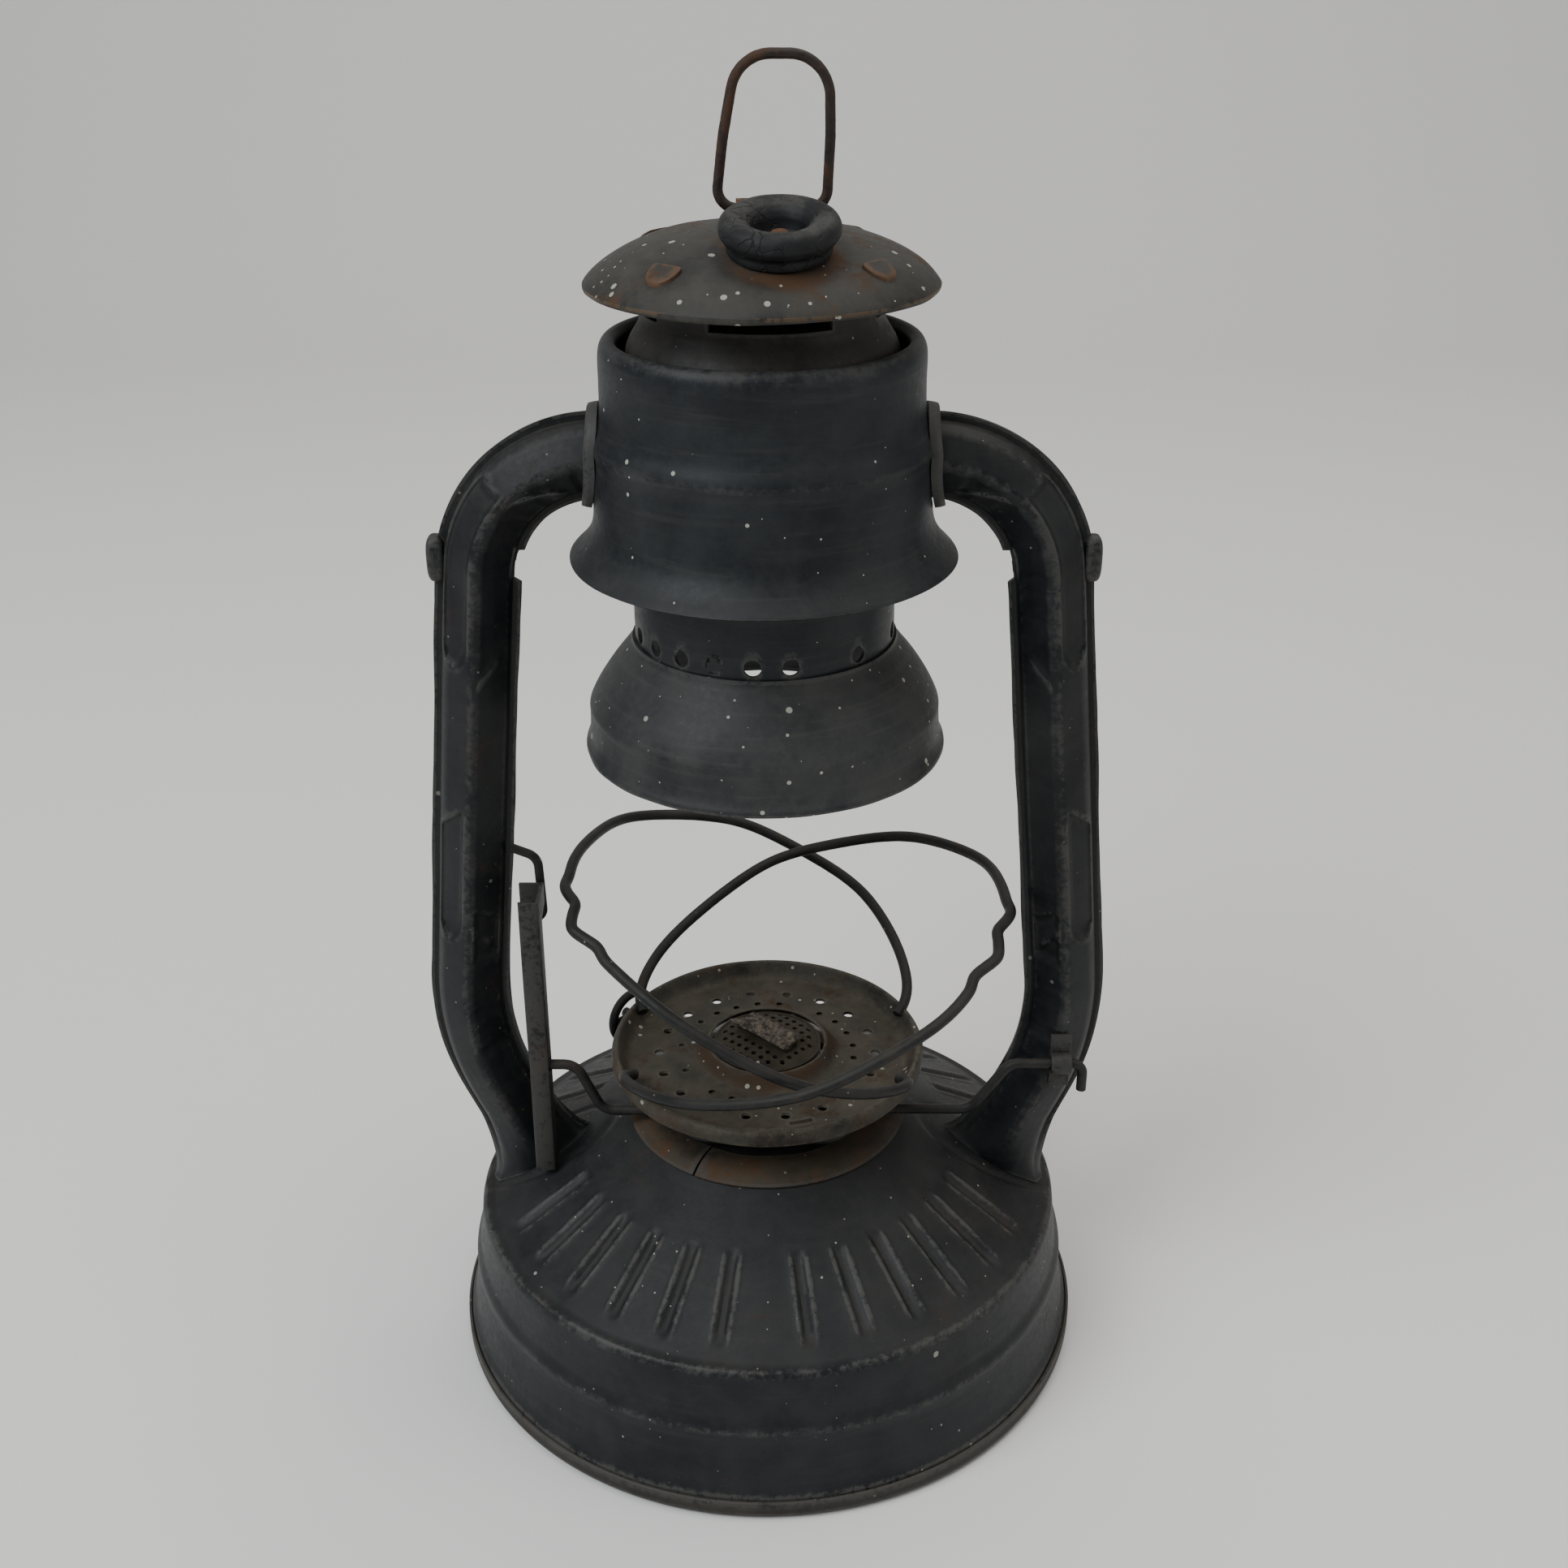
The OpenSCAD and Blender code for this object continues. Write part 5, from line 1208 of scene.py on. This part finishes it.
staple_line = bent([(-63.5, -1.5, 142.0), (-57.3, -1.5, 139.5), (-56.7, -1.5, 123.0),
                    (-61.4, -1.5, 120.0)], [0, 4, 3, 0], step=0.5)
lift_line = bent([(-58.6, -11.75, 84), (-49.4, -11.75, 84), (-43.0, -11.75, 69.6), (-30, -11.75, 69.6),
                  (-17, -24, 69.6), (17, -24, 69.6),
                  (30, -10.9, 69.6), (53.1, -10.9, 69.6), (63.1, -10.9, 84), (81.9, -10.9, 84),
                  (81.9, -10.9, 76)],
                 [0, 5, 5, 7, 7, 7, 7, 5, 5, 3, 0])
lift_wire = wire("lift_wire_cranked", [(lift_line, False)], 1.35, wire_finish, 0.08, 0.10)
dress(lift_wire, wire_finish, "wire", "dark_paint", "lift_wire")
staple = wire("lever_staple_bent", [(staple_line, False)], 1.2, wire_finish, 0.06, 0.06)
dress(staple, wire_finish, "frame", "dark_paint", "lever_staple")


# ---- Burner ----
# A brass flat-wick burner sits in the tank's collar. Its pierced deck and wick tube have
# gone dark brown with soot and dried oil, and only worn edges still look like brass.

brass_finish = old_metal("sooty brass", (0.0175, 0.0135, 0.0090), (0.0358, 0.0264, 0.0154),
                         (0.0570, 0.0492, 0.0360),
                         bare=(0.20, 0.145, 0.065), dusty=0.45, settled=0.4, worn=0.5, rusty=0.18,
                         rust=(0.05, 0.032, 0.018),
                         spotted=0.8, start=181.0, metal=0.35, bump=0.6)
for name in ("burner_collar", "burner_base", "burner_gallery", "burner_deck", "wick_tube", "winder_spurs"):
    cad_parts[name].data.materials[0] = brass_finish


# ---- Wick ----
# A flat cotton wick, charred and caked where it burned: the top is a rough crust
# of carbon that has spread over the mouth of its tube.

def wick_material():
    finish = bpy.data.materials.new("charred cotton")
    finish.use_nodes = True
    tree = finish.node_tree
    shader = tree.nodes["Principled BSDF"]
    coords = node(tree, "ShaderNodeTexCoord").outputs
    place = in_mm(tree, coords)
    height_z = node(tree, "ShaderNodeSeparateXYZ", {0: place}).outputs[2]
    weave = node(tree, "ShaderNodeTexWave", {"Vector": place, "Scale": 0.55, "Distortion": 0.6,
                                             "Detail": 1.0}, bands_direction="Z").outputs["Fac"]
    crumb = node(tree, "ShaderNodeTexNoise", {"Vector": place, "Scale": 0.7, "Detail": 6.0,
                                              "Roughness": 0.75}).outputs[0]
    cotton = blend_colour(tree, weave, (0.22, 0.19, 0.14, 1), (0.34, 0.31, 0.25, 1))
    crust = blend_colour(tree, ramp(tree, crumb, 0.38, 0.66), (0.024, 0.018, 0.014, 1),
                         (0.17, 0.135, 0.10, 1))
    charred = ramp(tree, height_z, 79.0, 83.0)
    tree.links.new(blend_colour(tree, charred, cotton, crust), shader.inputs["Base Color"])
    shader.inputs["Roughness"].default_value = 0.92
    raised = node(tree, "ShaderNodeBump", {"Height": plus(tree, crumb, times(tree, weave, 0.3)),
                  "Strength": 0.8, "Distance": 0.0006})
    tree.links.new(raised.outputs["Normal"], shader.inputs["Normal"])
    return finish


burner_turn = math.radians(137)
bm = bmesh.new()
bmesh.ops.create_cube(bm, size=1.0)
for point in bm.verts:
    point.co = Vector((point.co.x * 15.8, point.co.y * 2.4, 18 + (point.co.z + 0.5) * 69.4))
for axis, stretch in ((0, 0.7), (1, 0.7), (2, 0.9)):
    edges = [e for e in bm.edges if abs((e.verts[0].co - e.verts[1].co)[axis]) > 0.5]
    cuts = {0: 22, 1: 4, 2: 60}[axis]
    bmesh.ops.subdivide_edges(bm, edges=edges, cuts=cuts, use_grid_fill=True)
rng = np.random.default_rng(9)
waves = rng.uniform(-1, 1, (26, 3)) * [1.6, 1.9, 1.5]
phases = rng.uniform(0, 6.3, 26)
for point in bm.verts:
    x, y, z = point.co
    rough = float(np.sin(waves @ np.array([x, y, z]) + phases).sum()) / 5.0
    top = min(1.0, max(0.0, (z - 85.9) / 0.5))
    point.co.x += (0.35 * rough + 0.9 * x / 7.9) * top
    point.co.y += (0.7 * rough + 2.6 * y / 1.2) * top
    point.co.z += (0.75 * rough - 0.03 * abs(x)) * top
bm.transform(Matrix.Scale(MM, 4) @ Matrix.Rotation(burner_turn, 4, "Z"))
bmesh.ops.recalc_face_normals(bm, faces=bm.faces)
wick_mesh = bpy.data.meshes.new("wick")
bm.to_mesh(wick_mesh)
bm.free()
wick_mesh.shade_smooth()
wick = place_mesh("wick_charred", wick_mesh)
dress(wick, wick_material(), "wick", "cotton", "wick")


# ---- Winder ----
# A plain steel shaft from the burner, ending in a loop of wire bent round on itself,
# which is turned with finger and thumb to raise the wick.

def at_burner(x, y, z):
    return (x * math.cos(burner_turn) - y * math.sin(burner_turn),
            x * math.sin(burner_turn) + y * math.cos(burner_turn), z)


shaft_y, shaft_z, loop_x = 5.0, 72.3, 48.0
loop = [np.array(at_burner(loop_x, shaft_y + 7 * math.cos(t),
                           shaft_z + 7 * math.sin(t))) for t in np.linspace(0, 2 * math.pi, 80)[:-1]]
spoke = evenly([at_burner(loop_x, shaft_y, shaft_z), at_burner(loop_x, shaft_y + 6.4, shaft_z)], 0.5)
winder = wire("winder_loop_bent", [(np.array(loop), True), (spoke, False)], 1.3, wire_finish, 0.06, 0.08)
dress(winder, wire_finish, "winder", "dark_paint", "winder_loop")
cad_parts["winder_shaft"].data.materials[0] = wire_finish


# ---- Filler ----
# A short neck on the rear of the shoulder, closed by a knurled cap over a cork washer.

filler_finish = old_metal("filler cap paint", (0.0109, 0.0118, 0.0130), (0.0216, 0.0230, 0.0250),
                          (0.0558, 0.0515, 0.0434),
                          dusty=0.35, settled=0.5, worn=0.9, rusty=0.2, spotted=0.6, start=191.0)
softened("filler_cap", "filler_cap_knurled", 0.2, filler_finish, "filler_cap", "dark_paint")
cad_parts["filler_neck"].data.materials[0] = filler_finish
cork_finish = old_metal("pressed cork", (0.20, 0.12, 0.06), (0.30, 0.19, 0.10), (0.16, 0.11, 0.07),
                        bare=(0.32, 0.22, 0.12), dusty=0.3, settled=0.1, worn=0.3, rusty=0.0, spotted=0.0,
                        start=197.0, bump=0.8)
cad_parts["filler_gasket"].data.materials[0] = cork_finish


# ---- Studio ----
# A plain pale floor that curves up behind, soft light from above and from the left,
# and the camera a little above the lantern, looking down at it.

floor_mesh = bpy.data.meshes.new("studio_floor")
bend = np.linspace(0.1, math.pi / 2, 12)
sweep = [(-1.6, 0.0), (1.1, 0.0)]
sweep += [(1.1 + 0.5 * math.sin(a), 0.5 - 0.5 * math.cos(a)) for a in bend]
sweep += [(1.6, 2.4)]
floor_points = [(x, y, z) for y, z in sweep for x in (-2.6, 2.6)]
floor_mesh.from_pydata(floor_points, [], [(2 * k, 2 * k + 1, 2 * k + 3,
                                           2 * k + 2) for k in range(len(sweep) - 1)])
floor_mesh.shade_smooth()
studio_floor = place_mesh("studio_floor", floor_mesh)
paper = bpy.data.materials.new("studio paper")
paper.use_nodes = True
paper.node_tree.nodes["Principled BSDF"].inputs["Base Color"].default_value = (0.80, 0.785, 0.76, 1)
paper.node_tree.nodes["Principled BSDF"].inputs["Roughness"].default_value = 0.8
floor_mesh.materials.append(paper)

world = bpy.data.worlds.new("studio air")
world.use_nodes = True
world.node_tree.nodes["Background"].inputs["Color"].default_value = (0.90, 0.95, 1.0, 1)
world.node_tree.nodes["Background"].inputs["Strength"].default_value = 0.19
bpy.context.scene.world = world
for name, place, size, power, tint in (("window", (-0.95, -0.75, 1.35), 1.1, 25, (0.92, 0.96, 1.0)),
                                       ("ceiling", (0.3, 0.25, 1.7), 1.4, 15, (1.0, 0.98, 0.95)),
                                       ("side fill", (1.2, -0.45, 0.7), 0.9, 4, (1.0, 0.97, 0.93))):
    light = bpy.data.lights.new(name, "AREA")
    light.size, light.energy, light.color = size, power, tint
    lamp = bpy.data.objects.new(name, light)
    lamp.location = place
    lamp.rotation_euler = (Vector((0, 0, 0.15)) - Vector(place)).to_track_quat("-Z", "Y").to_euler()
    bpy.context.scene.collection.objects.link(lamp)

camera = bpy.data.objects.new("camera", bpy.data.cameras.new("camera"))
camera.data.sensor_width, camera.data.lens = 36.0, 43.06
camera.data.clip_start, camera.data.clip_end = 0.01, 20
view_axes = Matrix(((1.0, -0.001, 0.0057), (0.0056, 0.4416, -0.8972),
                    (-0.0016, 0.8972, 0.4416))).to_quaternion()
camera.matrix_world = Matrix.Translation((0.00719, -0.41518, 0.36353)) @ view_axes.to_matrix().to_4x4()
bpy.context.scene.collection.objects.link(camera)
bpy.context.scene.camera = camera

bpy.context.view_layer.update()
